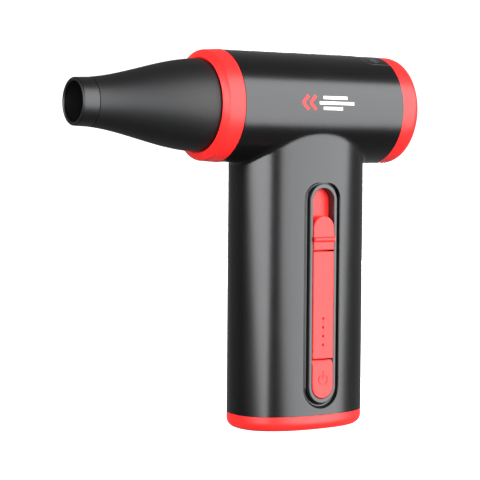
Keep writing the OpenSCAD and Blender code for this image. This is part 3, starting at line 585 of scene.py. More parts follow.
# The soft sleeve on the mouth: rubber-filled and a little drier than the casing
def soft_sleeve_rubber():
    return moulded("soft_sleeve_rubber", colours().black, 0.4, grain_mm=0.5, depth=0.006, specular=0.52)


# The bezel is the same resin off a glossier tool, a shade lighter
def rim_black_abs():
    return moulded("rim_black_abs", colours().rim, 0.34, depth=0.004, specular=0.62)


# Pigmented red ABS, satin: saturated where it turns away and pale where the soft box shows in it
def satin_red_abs():
    return moulded("satin_red_abs", colours().red, 0.34, grain_mm=0.5, depth=0.005, specular=0.33)


# Clear red acrylic over the lights: deep colour and a polished face
def light_pipe_acrylic():
    return moulded("light_pipe_acrylic", colours().dots, 0.4, depth=0.001, spread_by=0.02, specular=0.04)


# Smoked acrylic with a hard coat: nearly black, mirror smooth
def smoked_acrylic():
    return moulded("smoked_acrylic", colours().lens, 0.22, depth=0.001, spread_by=0.03)


# Pad-printed ink: a thin matt film that keeps the grain under it
def pad_print_ink():
    return moulded("pad_print_ink", colours().ink, 0.5, depth=0.003)


def red_print_ink():
    return moulded("red_print_ink", linear("#e01010"), 0.5, depth=0.003)


# Grey ink for the fan sign. It is also drawn along the lens's border as a painted edge highlight.
def grey_print_and_painted_edge_highlight():
    return moulded("grey_print_and_painted_edge_highlight", linear("#4a4e52"), 0.5, depth=0.003)


# Moulded silicone: matt, with a slight drag to its surface
def silicone_rubber():
    return moulded("silicone_rubber", linear("#151515"), 0.5, grain_mm=0.6, depth=0.01)


FINISHES = {
    "satin_black_abs": satin_black_abs,
    "matt_black_abs": matt_black_abs,
    "soft_sleeve_rubber": soft_sleeve_rubber,
    "rim_black_abs": rim_black_abs,
    "satin_red_abs": satin_red_abs,
    "light_pipe_acrylic": light_pipe_acrylic,
    "smoked_acrylic": smoked_acrylic,
    "pad_print_ink": pad_print_ink,
    "red_print_ink": red_print_ink,
    "grey_print_and_painted_edge_highlight": grey_print_and_painted_edge_highlight,
    "silicone_rubber": silicone_rubber,
    # Glass-filled ABS of the inner mouldings: dull dark grey
    "filled_grey_abs": lambda: moulded("filled_grey_abs", linear("#2c2d2f"), 0.55, 0.8, 0.02),
    # Natural ABS of the cell holders: off-white and slightly waxy
    "natural_abs": lambda: moulded("natural_abs", linear("#dcd9cb"), 0.45, 0.8, 0.015),
    # Heat-shrunk PVC round the cells: glossy and a little wrinkled
    "shrink_wrap": lambda: moulded("shrink_wrap", linear("#2a8f6a"), 0.25, 3.0, 0.03),
    # Solder mask over fibreglass: glossy green with the weave just showing
    "solder_mask": lambda: moulded("solder_mask", linear("#0d5a34"), 0.3, 0.9, 0.01),
    # Moulded epoxy of transistors and capacitors: black and sooty
    "moulded_epoxy": lambda: moulded("moulded_epoxy", linear("#1a1a1b"), 0.6, 0.4, 0.01),
    # Silicone lead jackets: soft red
    "lead_silicone": lambda: moulded("lead_silicone", linear("#b01818"), 0.45, 0.6, 0.01),
    # Cast LED resin: milky yellow
    "cast_resin": lambda: moulded("cast_resin", linear("#e6e2b4"), 0.2, 0.6, 0.003),
    # Zinc-plated steel screws and stampings: bright with fine draw lines
    "zinc_steel": lambda: metal("zinc_steel", linear("#b8bac0"), 0.32),
    # Drawn stainless wire of the filter
    "drawn_stainless": lambda: metal("drawn_stainless", linear("#8e9196"), 0.35, 0.2),
    # Stacked silicon steel: dark plates edge on, so its lines run round the axis
    "silicon_steel": lambda: metal("silicon_steel", linear("#6a6b70"), 0.5, 0.5, (1, 0.1, 0.1), 0.02),
    # Rolled nickel strip: pale and soft-bright
    "nickel_strip": lambda: metal("nickel_strip", linear("#cfcfca"), 0.25, 0.3, (0.1, 1, 1)),
    # Machined aluminium of the fan and the heat sink: pale with cutter lines
    "machined_aluminium": lambda: metal("machined_aluminium", linear("#c4c8cc"), 0.3, 0.4, (1, 0.15, 0.15)),
    # Enamelled copper windings: warm and glossy
    "enamelled_copper": lambda: metal("enamelled_copper", linear("#b4652c"), 0.28, 0.6, (1, 0.1, 0.1), 0.03),
    # Nickel-plated magnet: grey and smooth
    "plated_magnet": lambda: metal("plated_magnet", linear("#7e7f84"), 0.3),
}

# What each record slot looks like on the CAD nodes that stay
SLOT_FINISHES = {
    "black_abs": "satin_black_abs",
    "grey_black_abs": "filled_grey_abs",
    "red_abs": "satin_red_abs",
    "white_abs": "natural_abs",
    "soft_black_rubber": "silicone_rubber",
    "steel_mesh": "drawn_stainless",
    "steel": "zinc_steel",
    "silicon_steel": "silicon_steel",
    "nickel": "nickel_strip",
    "aluminium": "machined_aluminium",
    "copper": "enamelled_copper",
    "magnet": "plated_magnet",
    "red_light_pipe": "light_pipe_acrylic",
    "led_resin": "cast_resin",
    "board_laminate": "solder_mask",
    "smoked_window": "smoked_acrylic",
    "cell_wrap": "shrink_wrap",
    "lead_jacket": "lead_silicone",
    "epoxy_black": "moulded_epoxy",
}


# ---------- Casings ----------

WELL_R = 2.7
SCREW_HEAD_R = 2.4
WELL_X = shell_screws_high[0] - SCREW_HEAD_R
WELL_FLOOR_Y = 8.0
STRIP_PATCH = 14.5
CORNER_COLUMNS = 22
HEAD_TOP_COLUMNS = 28
WINDOW_COLUMNS = 8
TOP_ROWS = 24
WINDOW_CORNER = 4.1
WINDOW_MARGIN = 5.0


def head_point(x, turn, r):
    """A point on the head's cylinder. turn runs from 0 at the bottom to 180 degrees at the top."""
    return (x, r * math.sin(turn), AXIS_Z - r * math.cos(turn))


def junction(x, r, fillet, steps):
    """Points from the handle to the head at x, round the fillet, and the last one's (x, turn)."""
    power = sizes().grip_power
    y = grip_depth(x)
    turn = math.asin(y / r)
    corner = np.array(head_point(x, turn, r))
    normal = np.array(
        [sign_power(x / GRIP_X, power - 1) / GRIP_X, max(y / GRIP_Y, 1e-9) ** (power - 1) / GRIP_Y, 0]
    )
    normal /= np.linalg.norm(normal)
    out = np.array([0, math.sin(turn), -math.cos(turn)])
    between = math.acos(max(-1, min(1, float(normal @ out))))
    reach = fillet * math.tan(between / 2)
    across = np.array([normal[0], normal[1] * math.cos(turn)])
    across /= np.linalg.norm(across)
    slope = np.cross(normal, out)
    slope /= np.linalg.norm(slope)
    drop = reach / max(0.5, math.hypot(slope[0], slope[1]))
    start = corner - np.array([0, 0, drop])
    end_x, end_turn = x + reach * across[0], turn + reach * across[1] / r
    end = np.array(head_point(end_x, end_turn, r))
    leaving = np.array(
        [across[0], across[1] * math.cos(end_turn), across[1] * math.sin(end_turn)]
    )
    pull = 4 / 3 * math.tan(between / 4) * fillet
    a, b = start + np.array([0, 0, pull * drop / max(reach, 1e-9)]), end - leaving * pull
    line = []
    for t in np.linspace(0, 1, steps + 1):
        s = 1 - t
        line.append(s**3 * start + 3 * s * s * t * a + 3 * s * t * t * b + t**3 * end)
    return line, (end_x, end_turn)


def fillet_at(x):
    """The fillet's radius at x: small at the handle's sides and large in the middle."""
    side, middle = sizes().fillet / M, sizes().front_fillet / M
    share = 1 - abs(x / GRIP_X)
    return side + (middle - side) * share**0.8


def between_lines(inner, outer, steps):
    """Lines that run evenly from one line of points to another."""
    inner, outer = np.array(inner), np.array(outer)
    return [inner * (1 - t) + outer * t for t in np.linspace(0, 1, steps + 1)]


def casing(side):
    """One half of the body. side is -1 for the half with the controls and 1 for the plain one."""
    s = sizes()
    r = HEAD_R - s.inset / M
    columns = grip_columns([-GRIP_X, -STRIP_PATCH, STRIP_PATCH, GRIP_X], (30, 20, 30))
    patch_low = STADIUM_LOW - (s.groove_w + s.groove_round) / M - 0.2
    patch_high = STADIUM_HIGH + (s.groove_w + s.groove_round) / M + 0.2
    z_breaks = [CAP_H, patch_low, patch_high]
    rows = spread(z_breaks, (1, 66))
    strip_hole = ((-STRIP_PATCH, patch_low), (STRIP_PATCH, z_breaks[-1]))
    skin = Skin()

    def wall_point(x, z):
        return (x, grip_depth(x), z)

    def in_hole(x0, x1, z0, z1):
        low, high = strip_hole
        return side < 0 and low[0] < (x0 + x1) / 2 < high[0] and low[1] < (z0 + z1) / 2 < high[1]

    for z0, z1 in zip(rows, rows[1:]):
        for x0, x1 in zip(columns, columns[1:]):
            if not in_hole(x0, x1, z0, z1):
                lower = [wall_point(x0, z0), wall_point(x1, z0)]
                upper = [wall_point(x0, z1), wall_point(x1, z1)]
                skin.loft([lower, upper])
    if side < 0:
        low, high = strip_hole
        xs = [x for x in columns if low[0] - 1e-6 <= x <= high[0] + 1e-6]
        zs = [z for z in rows if low[1] - 1e-6 <= z <= high[1] + 1e-6]
        border = [(x, zs[0]) for x in xs[:-1]] + [(xs[-1], z) for z in zs[:-1]]
        border += [(x, zs[-1]) for x in reversed(xs[1:])] + [(xs[0], z) for z in reversed(zs[1:])]
        groove(skin, border, len(xs) - 1, len(zs) - 1)
    fillets, ends = zip(*(junction(x, r, fillet_at(x), 10) for x in columns))
    tops = [line[0] for line in fillets]
    foot = [wall_point(x, rows[-1]) for x in columns]
    skin.loft(between_lines(foot, tops, 6))
    skin.loft([[line[j] for line in fillets] for j in range(len(fillets[0]))])
    head(skin, r, ends)
    skin.points = [(x, side * (max(y, 0.0) + s.seam / M / 2), z) for x, y, z in skin.points]
    bm = skin.bmesh()
    face_outwards(bm, Vector((0, 0, AXIS_Z * 0.7)) * M)
    return bm


def groove(skin, border, n_end, n_side):
    """The patch around the controls and the sloping groove beside the bezel, which runs out at the top."""
    s = sizes()
    inner = np.array(stadium(BEZEL_HALF, n_end, n_side))
    step = np.array(stadium(BEZEL_HALF + 1, n_end, n_side)) - inner
    centre = STADIUM_HIGH - BEZEL_HALF
    profiles = []
    for z in inner[:, 1]:
        rise = min(1.0, max(0.0, (z - centre) / BEZEL_HALF))
        fade = max(0.03, math.sqrt(1 - rise**2))
        depth = s.groove_depth / M * fade**1.6
        width = 0.2 + (s.groove_w / M - 0.2) * fade
        soft = min(s.groove_round / M * fade, depth / 2)
        bend = np.radians(np.linspace(0, 90, 9))
        wall = np.radians(np.linspace(0, 140, 15))[1:]
        line = [(width + soft * (1 - math.sin(t)), soft * (1 - math.cos(t))) for t in bend]
        middle, half = (width + 0.1) / 2, (width - 0.1) / 2
        line += [(middle + half * math.cos(t), soft + (depth - soft) * math.sin(t)) for t in wall]
        profiles.append(line)
    lines = []
    for stage in zip(*profiles):
        outs = np.array([out for out, down in stage])
        places = inner + step * outs[:, None]
        lines.append([(x, grip_depth(x) - down, z) for (x, z), (out, down) in zip(places, stage)])
    start = [(x, z) for x, y, z in lines[0]]
    skin.loft(
        [[(x, grip_depth(x), z) for x, z in line] for line in between_lines(start, border, 5)],
        closed=True,
    )
    under = GRIP_Y - s.groove_depth / M - 1.2
    lines.append([(x, under, z) for x, y, z in lines[-1]])
    skin.loft(lines, closed=True)


def head(skin, r, ends):
    """The head's half cylinder, around the handle and around the display window."""
    quarter, half = math.pi / 2, math.pi
    split_x = window_low[0] - WINDOW_MARGIN
    top_x = spread([HEAD_FRONT, split_x, HEAD_REAR], (HEAD_TOP_COLUMNS, WINDOW_COLUMNS))
    outer = [(HEAD_FRONT, t) for t in np.linspace(0, quarter, CORNER_COLUMNS + 1)[:-1]]
    outer += [(x, quarter) for x in top_x]
    outer += [(HEAD_REAR, t) for t in np.linspace(quarter, 0, CORNER_COLUMNS + 1)[1:]]
    skin.loft([[head_point(x, t, r) for x, t in line] for line in between_lines(ends, outer, 14)])
    turns = np.linspace(quarter, half, TOP_ROWS + 1)
    skin.loft([[head_point(x, t, r) for x in top_x[: HEAD_TOP_COLUMNS + 1]] for t in turns])
    outer = [(x, quarter) for x in reversed(top_x[HEAD_TOP_COLUMNS:])] + [(split_x, t) for t in turns[1:]]
    gap = 0.1
    low_x, half_w, corner = window_low[0] - gap, window_high[1] + gap, WINDOW_CORNER
    rim = [(HEAD_REAR, half_w)] + arc(low_x + corner, half_w - corner, corner, 90, 135, 8)
    inner = along(rim, WINDOW_COLUMNS)
    rim = arc(low_x + corner, half_w - corner, corner, 135, 180, 8) + [(low_x, 0.0)]
    inner += along(rim, TOP_ROWS)[1:]
    inner = [(x, half - math.asin(max(0.0, y) / r)) for x, y in inner]
    skin.loft([[head_point(x, t, r) for x, t in line] for line in between_lines(outer, inner, 10)])
    skin.loft([[head_point(x, t, depth) for x, t in inner] for depth in (r, r - 0.6, r - 1.5)])


class BLOWER_OT_casings(bpy.types.Operator):
    """Builds the two halves of the body"""

    bl_idname = "blower.casings"
    bl_label = "Casings"

    def execute(self, context):
        s = sizes()
        for side, node in ((-1, "control_side_shell"), (1, "plain_side_shell")):
            obj = piece("casing_" + ("controls" if side < 0 else "plain"), casing(side))
            thicken(obj, s.skin / M)
            apply_modifiers(obj)
            round_edges(obj, s.edge / M)
            if side > 0:
                self.screw_wells(obj)
            ready(obj, finish("satin_black_abs"), [node], "body")
        return {"FINISHED"}

    def screw_wells(self, obj):
        """Sinks the wells of the shell screws, each with a boss behind it that ends under the skin."""
        well_z = (shell_screws_low[2] + SCREW_HEAD_R, shell_screws_high[2] - SCREW_HEAD_R)
        places = [(x, z) for x in (-WELL_X, WELL_X) for z in well_z]
        turns = np.linspace(0, 2 * math.pi, 40, endpoint=False)
        for x, z in places:
            edge = [(x + (WELL_R + 1) * math.cos(t), z + (WELL_R + 1) * math.sin(t)) for t in turns]
            floor = [(px, WELL_FLOOR_Y - 2, pz) for px, pz in edge]
            crown = [(px, grip_depth(px) - 0.5, pz) for px, pz in edge]
            boss = Skin()
            boss.loft([floor, crown], closed=True)
            boss.fill(floor)
            boss.fill(crown)
            join_solid(obj, piece("boss", boss.bmesh(), smooth=False))
        reach = grip_depth(WELL_X - WELL_R) + 0.5
        cut(obj, [rod("cut_well", (x, WELL_FLOOR_Y, z), (x, reach, z), WELL_R, 40) for x, z in places])
        round_edges(obj, 0)


# ---------- Rings ----------


class BLOWER_OT_rings(bpy.types.Operator):
    """Builds the red rings at the two ends of the head"""

    bl_idname = "blower.rings"
    bl_label = "Rings"

    def execute(self, context):
        s = sizes()
        r = HEAD_R - s.inset / M
        gap = s.seam / M
        band_end, band_drop = RING_FRONT + 2.5, 0.64
        lip_r, lip_round = nozzle_high[1] + 0.12, 0.9
        band_r = r - band_drop
        bevel = [
            (band_end + (RING_FRONT - band_end) * t**0.8, band_r + (lip_r + lip_round - band_r) * t)
            for t in np.linspace(0.1, 1, 12)
        ]
        lip = [
            (RING_FRONT + lip_round * (1 - math.sin(a)), lip_r + lip_round * (1 - math.cos(a)))
            for a in np.radians(np.linspace(80, 0, 8))
        ]
        crease = [
            (band_end + 0.25, band_r + 0.02),
            (band_end + 0.04, band_r - 0.2),
            (band_end - 0.14, band_r - 0.1),
        ]
        corners = [
            (HEAD_FRONT - gap, r),
            *crease,
            *bevel,
            *lip,
            (RING_FRONT + 1.3, lip_r),
            (RING_FRONT + 1.3, 20.6),
            (RING_FRONT + 8, 20.6),
            (RING_FRONT + 8, 18.0),
            (HEAD_FRONT + 3, 18.0),
            (HEAD_FRONT + 3, r - 2.6),
            (HEAD_FRONT - gap, r - 2.6),
        ]
        radii = [0.3] + [0] * (len(corners) - 1)
        front = lathe("front_ring_red", soften(corners, radii))
        round_edges(front, 0)
        ready(front, finish("satin_red_abs"), ["front_ring"], "body")
        drop, edge_len = 2.0, 4.0
        rear_r = r - 0.3
        edge = [
            (RING_REAR - edge_len * (1 - math.sin(a)), rear_r - drop * (1 - math.cos(a)))
            for a in np.radians(np.linspace(0, 90, 12))
        ]
        pocket_r = grille_high[1] + 0.1
        corners = [
            (HEAD_REAR + gap, r - 2.6),
            (HEAD_REAR + gap, rear_r),
            *edge,
            (RING_REAR, pocket_r),
            (filter_low[0], pocket_r),
            (filter_low[0], pocket_r - 1.6),
            (HEAD_REAR - 6, 18.0),
            (HEAD_REAR - 6, 20.4),
            (HEAD_REAR + 1, 21.6),
        ]
        radii = [0, 0.3] + [0] * (len(edge) - 1) + [0.3, 0.3, 0, 0, 2, 0, 0]
        rear = lathe("rear_ring_red", soften(corners, radii))
        round_edges(rear, 0)
        ready(rear, finish("satin_red_abs"), ["rear_ring"], "body")
        return {"FINISHED"}


# ---------- Nozzle ----------


def nozzle_radius(x):
    """Outer radius of the nozzle, a smooth step from the mouth to the ring."""
    tip_r, root_r = sleeve_high[1], nozzle_high[1] - 0.12
    start, end = MOUTH_X + 2.0, RING_FRONT + 1.0
    t = min(1.0, max(0.0, (x - start) / (end - start)))
    return tip_r + (root_r - tip_r) * t * t * (3 - 2 * t)


class BLOWER_OT_nozzle(bpy.types.Operator):
    """Builds the tapered nozzle and the soft sleeve at its mouth"""

    bl_idname = "blower.nozzle"
    bl_label = "Nozzle"

    def execute(self, context):
        gap = 0.16
        wall = nozzle_radius(SEAM_X) - 9.6
        xs = np.linspace(RING_FRONT + 0.9, SEAM_X + gap, 60)
        outer = [(x, nozzle_radius(x)) for x in xs]
        inner = [(x, min(nozzle_radius(x) - wall, 18.4)) for x in reversed(xs[1:])]
        spigot_r, back = 20.4, RING_FRONT + 7.8
        corners = [*outer, (SEAM_X, 10.5), (MOUTH_X + 1.5, 10.5), (MOUTH_X + 1.5, 9.6), *inner]
        corners += [(back, 18.4), (back, spigot_r), (RING_FRONT + 0.9, spigot_r)]
        radii = [0.9] + [0] * (len(outer) - 2) + [0.2] + [0] * (len(corners) - len(outer))
        body = lathe("nozzle_taper", soften(corners, radii))
        round_edges(body, 0)
        ready(body, finish("matt_black_abs"), ["nozzle"], "nozzle_unit")
        start_r, tip_r = nozzle_radius(SEAM_X) - 0.04, sleeve_high[1] - 0.06
        lip_r = 0.95
        lip = [(MOUTH_X + lip_r - q, tip_r - lip_r + p) for p, q in arc(0, 0, lip_r, 0, 180, 16)]
        bore_r, inner_r, lip_end, seam_end = 9.6, 10.55, MOUTH_X + 1.45, SEAM_X - 0.02
        corners = [(seam_end, start_r), *lip, (lip_end, bore_r), (lip_end, inner_r), (seam_end, inner_r)]
        radii = [0.2] + [0] * (len(corners) - 1)
        sleeve = lathe("nozzle_soft_sleeve", soften(corners, radii))
        round_edges(sleeve, 0)
        rubber = finish("soft_sleeve_rubber")
        ready(sleeve, rubber, ["nozzle_tip_sleeve"], "nozzle_unit")
        return {"FINISHED"}


# ---------- Base ----------


def grip_loop(inset, z, count=256):
    """The handle's oval at one height, drawn smaller by the inset."""
    power = 2 / sizes().grip_power
    places = []
    for t in np.linspace(0, 2 * math.pi, count, endpoint=False):
        x = (GRIP_X - inset) * sign_power(math.cos(t), power)
        y = (GRIP_Y - inset) * sign_power(math.sin(t), power)
        places.append((x, y, z))
    return places


class BLOWER_OT_base(bpy.types.Operator):
    """Builds the red base cap with its screw wells and its charging hole"""

    bl_idname = "blower.base"
    bl_label = "Base cap"

    def execute(self, context):
        s = sizes()
        soft = s.cap_round / M
        top = CAP_H - s.seam / M
        wall, floor = 3.4, 2.4
        skin = Skin()
        lines = [
            grip_loop(0.2, top),
            grip_loop(0.06, top - 0.06),
            grip_loop(0, top - 0.2),
            grip_loop(0, soft + 0.4),
        ]
        for a in np.radians(np.linspace(0, 90, 13)):
            lines.append(grip_loop(soft * (1 - math.cos(a)), soft * (1 - math.sin(a))))
        lines.append(grip_loop(soft + 1, 0))
        skin.loft(lines, closed=True)
        skin.fill(lines[-1])
        inner = [
            grip_loop(0.2, top),
            grip_loop(wall, top),
            grip_loop(wall, floor + 1.5),
            grip_loop(soft + 0.6, floor),
        ]
        skin.loft(inner, closed=True)
        skin.fill(inner[-1])
        cap = piece("base_cap_red", skin.bmesh())
        port_y = (port_low[1] + port_high[1]) / 2
        half, r = port_high[0] - 1.63, 1.63 + 0.25
        hole = arc(half, port_y, r, -90, 90, 12) + arc(-half, port_y, r, 90, 270, 12)
        cutter = Skin()
        lines = [[(x, y, z) for x, y in hole] for z in (-3, 12)]
        cutter.loft(lines, closed=True)
        for line in lines:
            cutter.fill(line)
        cutters = [piece("cut_port", cutter.bmesh())]
        screw_x, screw_y = base_screws_high[0] - 2.4, base_screws_high[1] - 2.4
        for x in (-screw_x, screw_x):
            for y in (-screw_y, screw_y):
                cutters.append(rod("cut_well", (x, y, -3), (x, y, 12), WELL_R, 40))
        cut(cap, cutters)
        round_edges(cap, 0.15, 2, 50)
        ready(cap, finish("satin_red_abs"), ["base_cap"], "body")
        return {"FINISHED"}


# ---------- Controls ----------


def key(name, outline, front, back, edge, steps=5):
    """A moulded key: a closed outline in X and Z whose front edge is rounded."""
    bm = bmesh.new()
    points = [bm.verts.new(Vector((x, back, z)) * M) for x, z in outline]
    face = bm.faces.new(points)
    made = bmesh.ops.extrude_face_region(bm, geom=[face])
    moved = [v for v in made["geom"] if isinstance(v, bmesh.types.BMVert)]
    bmesh.ops.translate(bm, verts=moved, vec=Vector((0, front - back, 0)) * M)
    rim = [
        e
        for e in bm.edges
        if all(abs(v.co.y - front * M) < 1e-7 for v in e.verts) and len(e.link_faces) == 2
    ]
    bmesh.ops.bevel(
        bm, geom=rim, offset=edge * M, segments=steps, profile=0.5, affect="EDGES", clamp_overlap=True
    )
    bmesh.ops.recalc_face_normals(bm, faces=bm.faces)
    return piece(name, bm)


def rounded_bar(half, low, high, bottom_r, top_r, steps=20):
    """A closed outline, half wide each way, with its own radius at the bottom and the top corners."""
    outline = arc(half - bottom_r, low + bottom_r, bottom_r, -90, 0, steps)
    outline += arc(half - top_r, high - top_r, top_r, 0, 90, steps)
    outline += arc(-half + top_r, high - top_r, top_r, 90, 180, steps)
    outline += arc(-half + bottom_r, low + bottom_r, bottom_r, 180, 270, steps)
    kept = [outline[0]]
    for p in outline[1:]:
        if math.dist(p, kept[-1]) > 0.01:
            kept.append(p)
    return kept if math.dist(kept[0], kept[-1]) > 0.01 else kept[:-1]


def power_symbol(cx, cz, r, line, front, back):
    """Closed cutters for an engraved power mark: an open ring with a bar in its gap."""
    gap = 34
    outer = arc(cx, cz, r + line / 2, 90 + gap, 450 - gap, 40)
    inner = arc(cx, cz, r - line / 2, 450 - gap, 90 + gap, 40)
    ring = prism("cut_ring", outer + inner, front, back)
    bar = prism(
        "cut_bar",
        [(cx + sx * line / 2, cz + z) for sx, z in ((-1, 0.1), (1, 0.1), (1, r + 1.7), (-1, r + 1.7))],
        front,
        back,
    )
    return [ring, bar]


class BLOWER_OT_controls(bpy.types.Operator):
    """Builds the bezel, the pocket's floor, the slider, the indicator strip, the button and the lights"""

    bl_idname = "blower.controls"
    bl_label = "Controls"

    def execute(self, context):
        self.bezel()
        self.track()
        self.slider()
        self.strip()
        self.button()
        return {"FINISHED"}

    def bezel(self):
        s = sizes()
        rim = s.rim_w / M
        n_end, n_side = 24, 90
        back = FLOOR_Y + 1.4
        section = soften(
            [(0, back), (0, RIM_Y), (-rim, RIM_Y), (-rim, back)],
            [0, 0.42, 0.38, 0],
        )
        skin = Skin()
        ends = [-out / rim * s.rim_end / M for out, y in section]
        lines = [
            [(x, y, z) for x, z in stadium(BEZEL_HALF + out, n_end, n_side, end)]
            for (out, y), end in zip(section, ends)
        ]
        skin.loft(lines, closed=True, around=True)
        obj = piece("control_bezel_rim", skin.bmesh())
        round_edges(obj, 0)
        ready(obj, finish("rim_black_abs"), ["control_bezel"], "body")

    def track(self):
        half = BEZEL_HALF - sizes().rim_w / M - 0.03
        outline = stadium(half, 24, 60, sizes().rim_end / M)
        obj = prism("slider_track_floor", outline, FLOOR_Y, FLOOR_Y + 1.2)
        stem, low, high = 1.4, slider_low[2] + 0.7, slider_low[2] + 15.3
        slot = [(-stem, low), (stem, low), (stem, high), (-stem, high)]
        cut(obj, [prism("cut_slot", slot, FLOOR_Y - 1, FLOOR_Y + 3)])
        round_edges(obj, 0)
        ready(obj, finish("satin_red_abs"), ["slider_track"], "body")

    def slider(self):
        s = sizes()
        low, high = slider_low[2], slider_high[2]
        outline = rounded_bar(RED_HALF, low, high, 0.35, RED_HALF - 0.02)
        obj = key("speed_slider_key", outline, RED_Y, FLOOR_Y - 0.4, s.key_edge / M)
        rib_z, rib_r = low + 5.2, 1.25
        rib = rod("rib", (-RED_HALF, RED_Y - 0.1, rib_z), (RED_HALF, RED_Y - 0.1, rib_z), rib_r, 40)
        join_solid(obj, rib)
        post = [(-1.2, low + 1), (1.2, low + 1), (1.2, low + 2.6), (-1.2, low + 2.6)]
        stem = prism("stem", post, FLOOR_Y - 1.2, slider_high[1])
        join_solid(obj, stem)
        round_edges(obj, 0.14, 2, 40)
        ready(obj, finish("satin_red_abs"), ["speed_slider"], "slider_unit")

    def strip(self):
        s = sizes()
        outline = rounded_bar(RED_HALF, strip_low[2], strip_high[2], 0.35, 0.35, 6)
        obj = key("indicator_strip_face", outline, RED_Y, FLOOR_Y, s.key_edge / M)
        count = 4
        pitch = (dots_high[2] - dots_low[2] - 1.2) / (count - 1)
        places = [dots_low[2] + 0.6 + i * pitch for i in range(count)]
        cut(obj, [rod("cut_dot", (0, RED_Y - 1, z), (0, FLOOR_Y + 1, z), 0.74, 28) for z in places])
        round_edges(obj, 0)
        ready(obj, finish("satin_red_abs"), ["indicator_strip"], "body")
        dots = light_dots(places)
        ready(dots, finish("light_pipe_acrylic"), ["light_pipes"], "body")

    def button(self):
        s = sizes()
        low, high = button_low[2], button_high[2]
        outline = rounded_bar(RED_HALF, low, high, RED_HALF - 0.02, 0.35)
        back = FLOOR_Y - 1.4
        obj = key("power_button_key", outline, RED_Y, back, s.key_edge / M)
        facet_z, drop, span = high - 2.6, 1.4, 2.6
        reach = 8.0
        wedge_line = [
            (RED_Y, facet_z),
            (RED_Y + drop, high),
            (RED_Y + drop * 2, high + span),
            (RED_Y - reach, high + span),
            (RED_Y - reach, facet_z),
        ]
        skin = Skin()
        ends = [[(x, y, z) for y, z in wedge_line] for x in (-reach, reach)]
        skin.loft(ends, closed=True)
        for line in ends:
            skin.fill(line)
        stem = rod("stem", (0, back - 1, (low + high) / 2), (0, button_high[1], (low + high) / 2), 1.5)
        join_solid(obj, stem)
        cutters = [piece("cut_facet", skin.bmesh(), smooth=False)]
        cutters += power_symbol(0, (low + high) / 2 - 0.2, 2.6, 0.45, RED_Y - 1, RED_Y + 0.3)
        cut(obj, cutters)
        round_edges(obj, 0.1, 2, 40)
        ready(obj, finish("satin_red_abs"), ["power_button"], "button_unit")


def light_dots(places):
    """The domed ends of the light pipes, set along the strip by Geometry Nodes."""
    tree = bpy.data.node_groups.new("dots along the strip", "GeometryNodeTree")
    kinds = {"Count": "NodeSocketInt", "Pitch": "NodeSocketFloat", "Radius": "NodeSocketFloat"}
    for label, kind in kinds.items():
        tree.interface.new_socket(label, in_out="INPUT", socket_type=kind)
    tree.interface.new_socket("First", in_out="INPUT", socket_type="NodeSocketVector")
    tree.interface.new_socket("Finish", in_out="INPUT", socket_type="NodeSocketMaterial")
    tree.interface.new_socket("Geometry", in_out="OUTPUT", socket_type="NodeSocketGeometry")
    given = add(tree, "NodeGroupInput").outputs
    step = add(tree, "ShaderNodeCombineXYZ", links={"Z": given["Pitch"]})
    row = add(
        tree,
        "GeometryNodeMeshLine",
        links={"Count": given["Count"], "Start Location": given["First"], "Offset": step.outputs[0]},
        mode="OFFSET",
    )
    ball = add(
        tree, "GeometryNodeMeshUVSphere", {"Segments": 24, "Rings": 12}, {"Radius": given["Radius"]}
    )
    flat = add(
        tree, "GeometryNodeTransform", {"Scale": (1.0, 0.45, 1.0)}, {"Geometry": ball.outputs["Mesh"]}
    )
    placed = add(
        tree,
        "GeometryNodeInstanceOnPoints",
        links={"Points": row.outputs[0], "Instance": flat.outputs[0]},
    )
    real = add(tree, "GeometryNodeRealizeInstances", links={"Geometry": placed.outputs[0]})
    smooth = add(tree, "GeometryNodeSetShadeSmooth", links={"Geometry": real.outputs[0]})
    dressed = add(
        tree, "GeometryNodeSetMaterial", links={"Geometry": smooth.outputs[0], "Material": given["Finish"]}
    )
    add(tree, "NodeGroupOutput", links={"Geometry": dressed.outputs[0]})
    pitch = places[1] - places[0]
    values = {
        "Count": len(places),
        "Pitch": pitch * M,
        "Radius": 0.78 * M,
        "First": (0, (RED_Y + 0.36) * M, places[0] * M),
        "Finish": finish("light_pipe_acrylic"),
    }
    return from_nodes("battery_light_dots", tree, values)


def from_nodes(name, tree, values):
    """The plain mesh that a Geometry Nodes tree makes from these named inputs."""
    obj = bpy.data.objects.new(name, bpy.data.meshes.new(name))
    bpy.context.scene.collection.objects.link(obj)
    modifier = obj.modifiers.new("nodes", "NODES")
    modifier.node_group = tree
    for item in tree.interface.items_tree:
        if item.item_type == "SOCKET" and item.in_out == "INPUT" and item.name in values:
            modifier[item.identifier] = values[item.name]
    return apply_modifiers(obj)


# ---------- Air intake, by Geometry Nodes ----------


def new_tree(name, inputs):
    """A Geometry Nodes tree with these named inputs, its group input and its output socket."""
    tree = bpy.data.node_groups.new(name, "GeometryNodeTree")
    kinds = {"Count": "NodeSocketInt", "Finish": "NodeSocketMaterial"}
    for label in inputs:
        kind = kinds.get(label.split(" ")[-1], "NodeSocketFloat")
        tree.interface.new_socket(label, in_out="INPUT", socket_type=kind)
    tree.interface.new_socket("Geometry", in_out="OUTPUT", socket_type="NodeSocketGeometry")
    return tree, add(tree, "NodeGroupInput").outputs


def end_tree(tree, parts, given):
    """Joins the parts, makes them real, smooths and dresses them, and ends the tree."""
    joined = add(tree, "GeometryNodeJoinGeometry")
    for part in parts:
        tree.links.new(part, joined.inputs[0])
    real = add(tree, "GeometryNodeRealizeInstances", links={"Geometry": joined.outputs[0]})
    dressed = add(
        tree, "GeometryNodeSetMaterial", links={"Geometry": real.outputs[0], "Material": given["Finish"]}
    )
    add(tree, "NodeGroupOutput", links={"Geometry": dressed.outputs[0]})


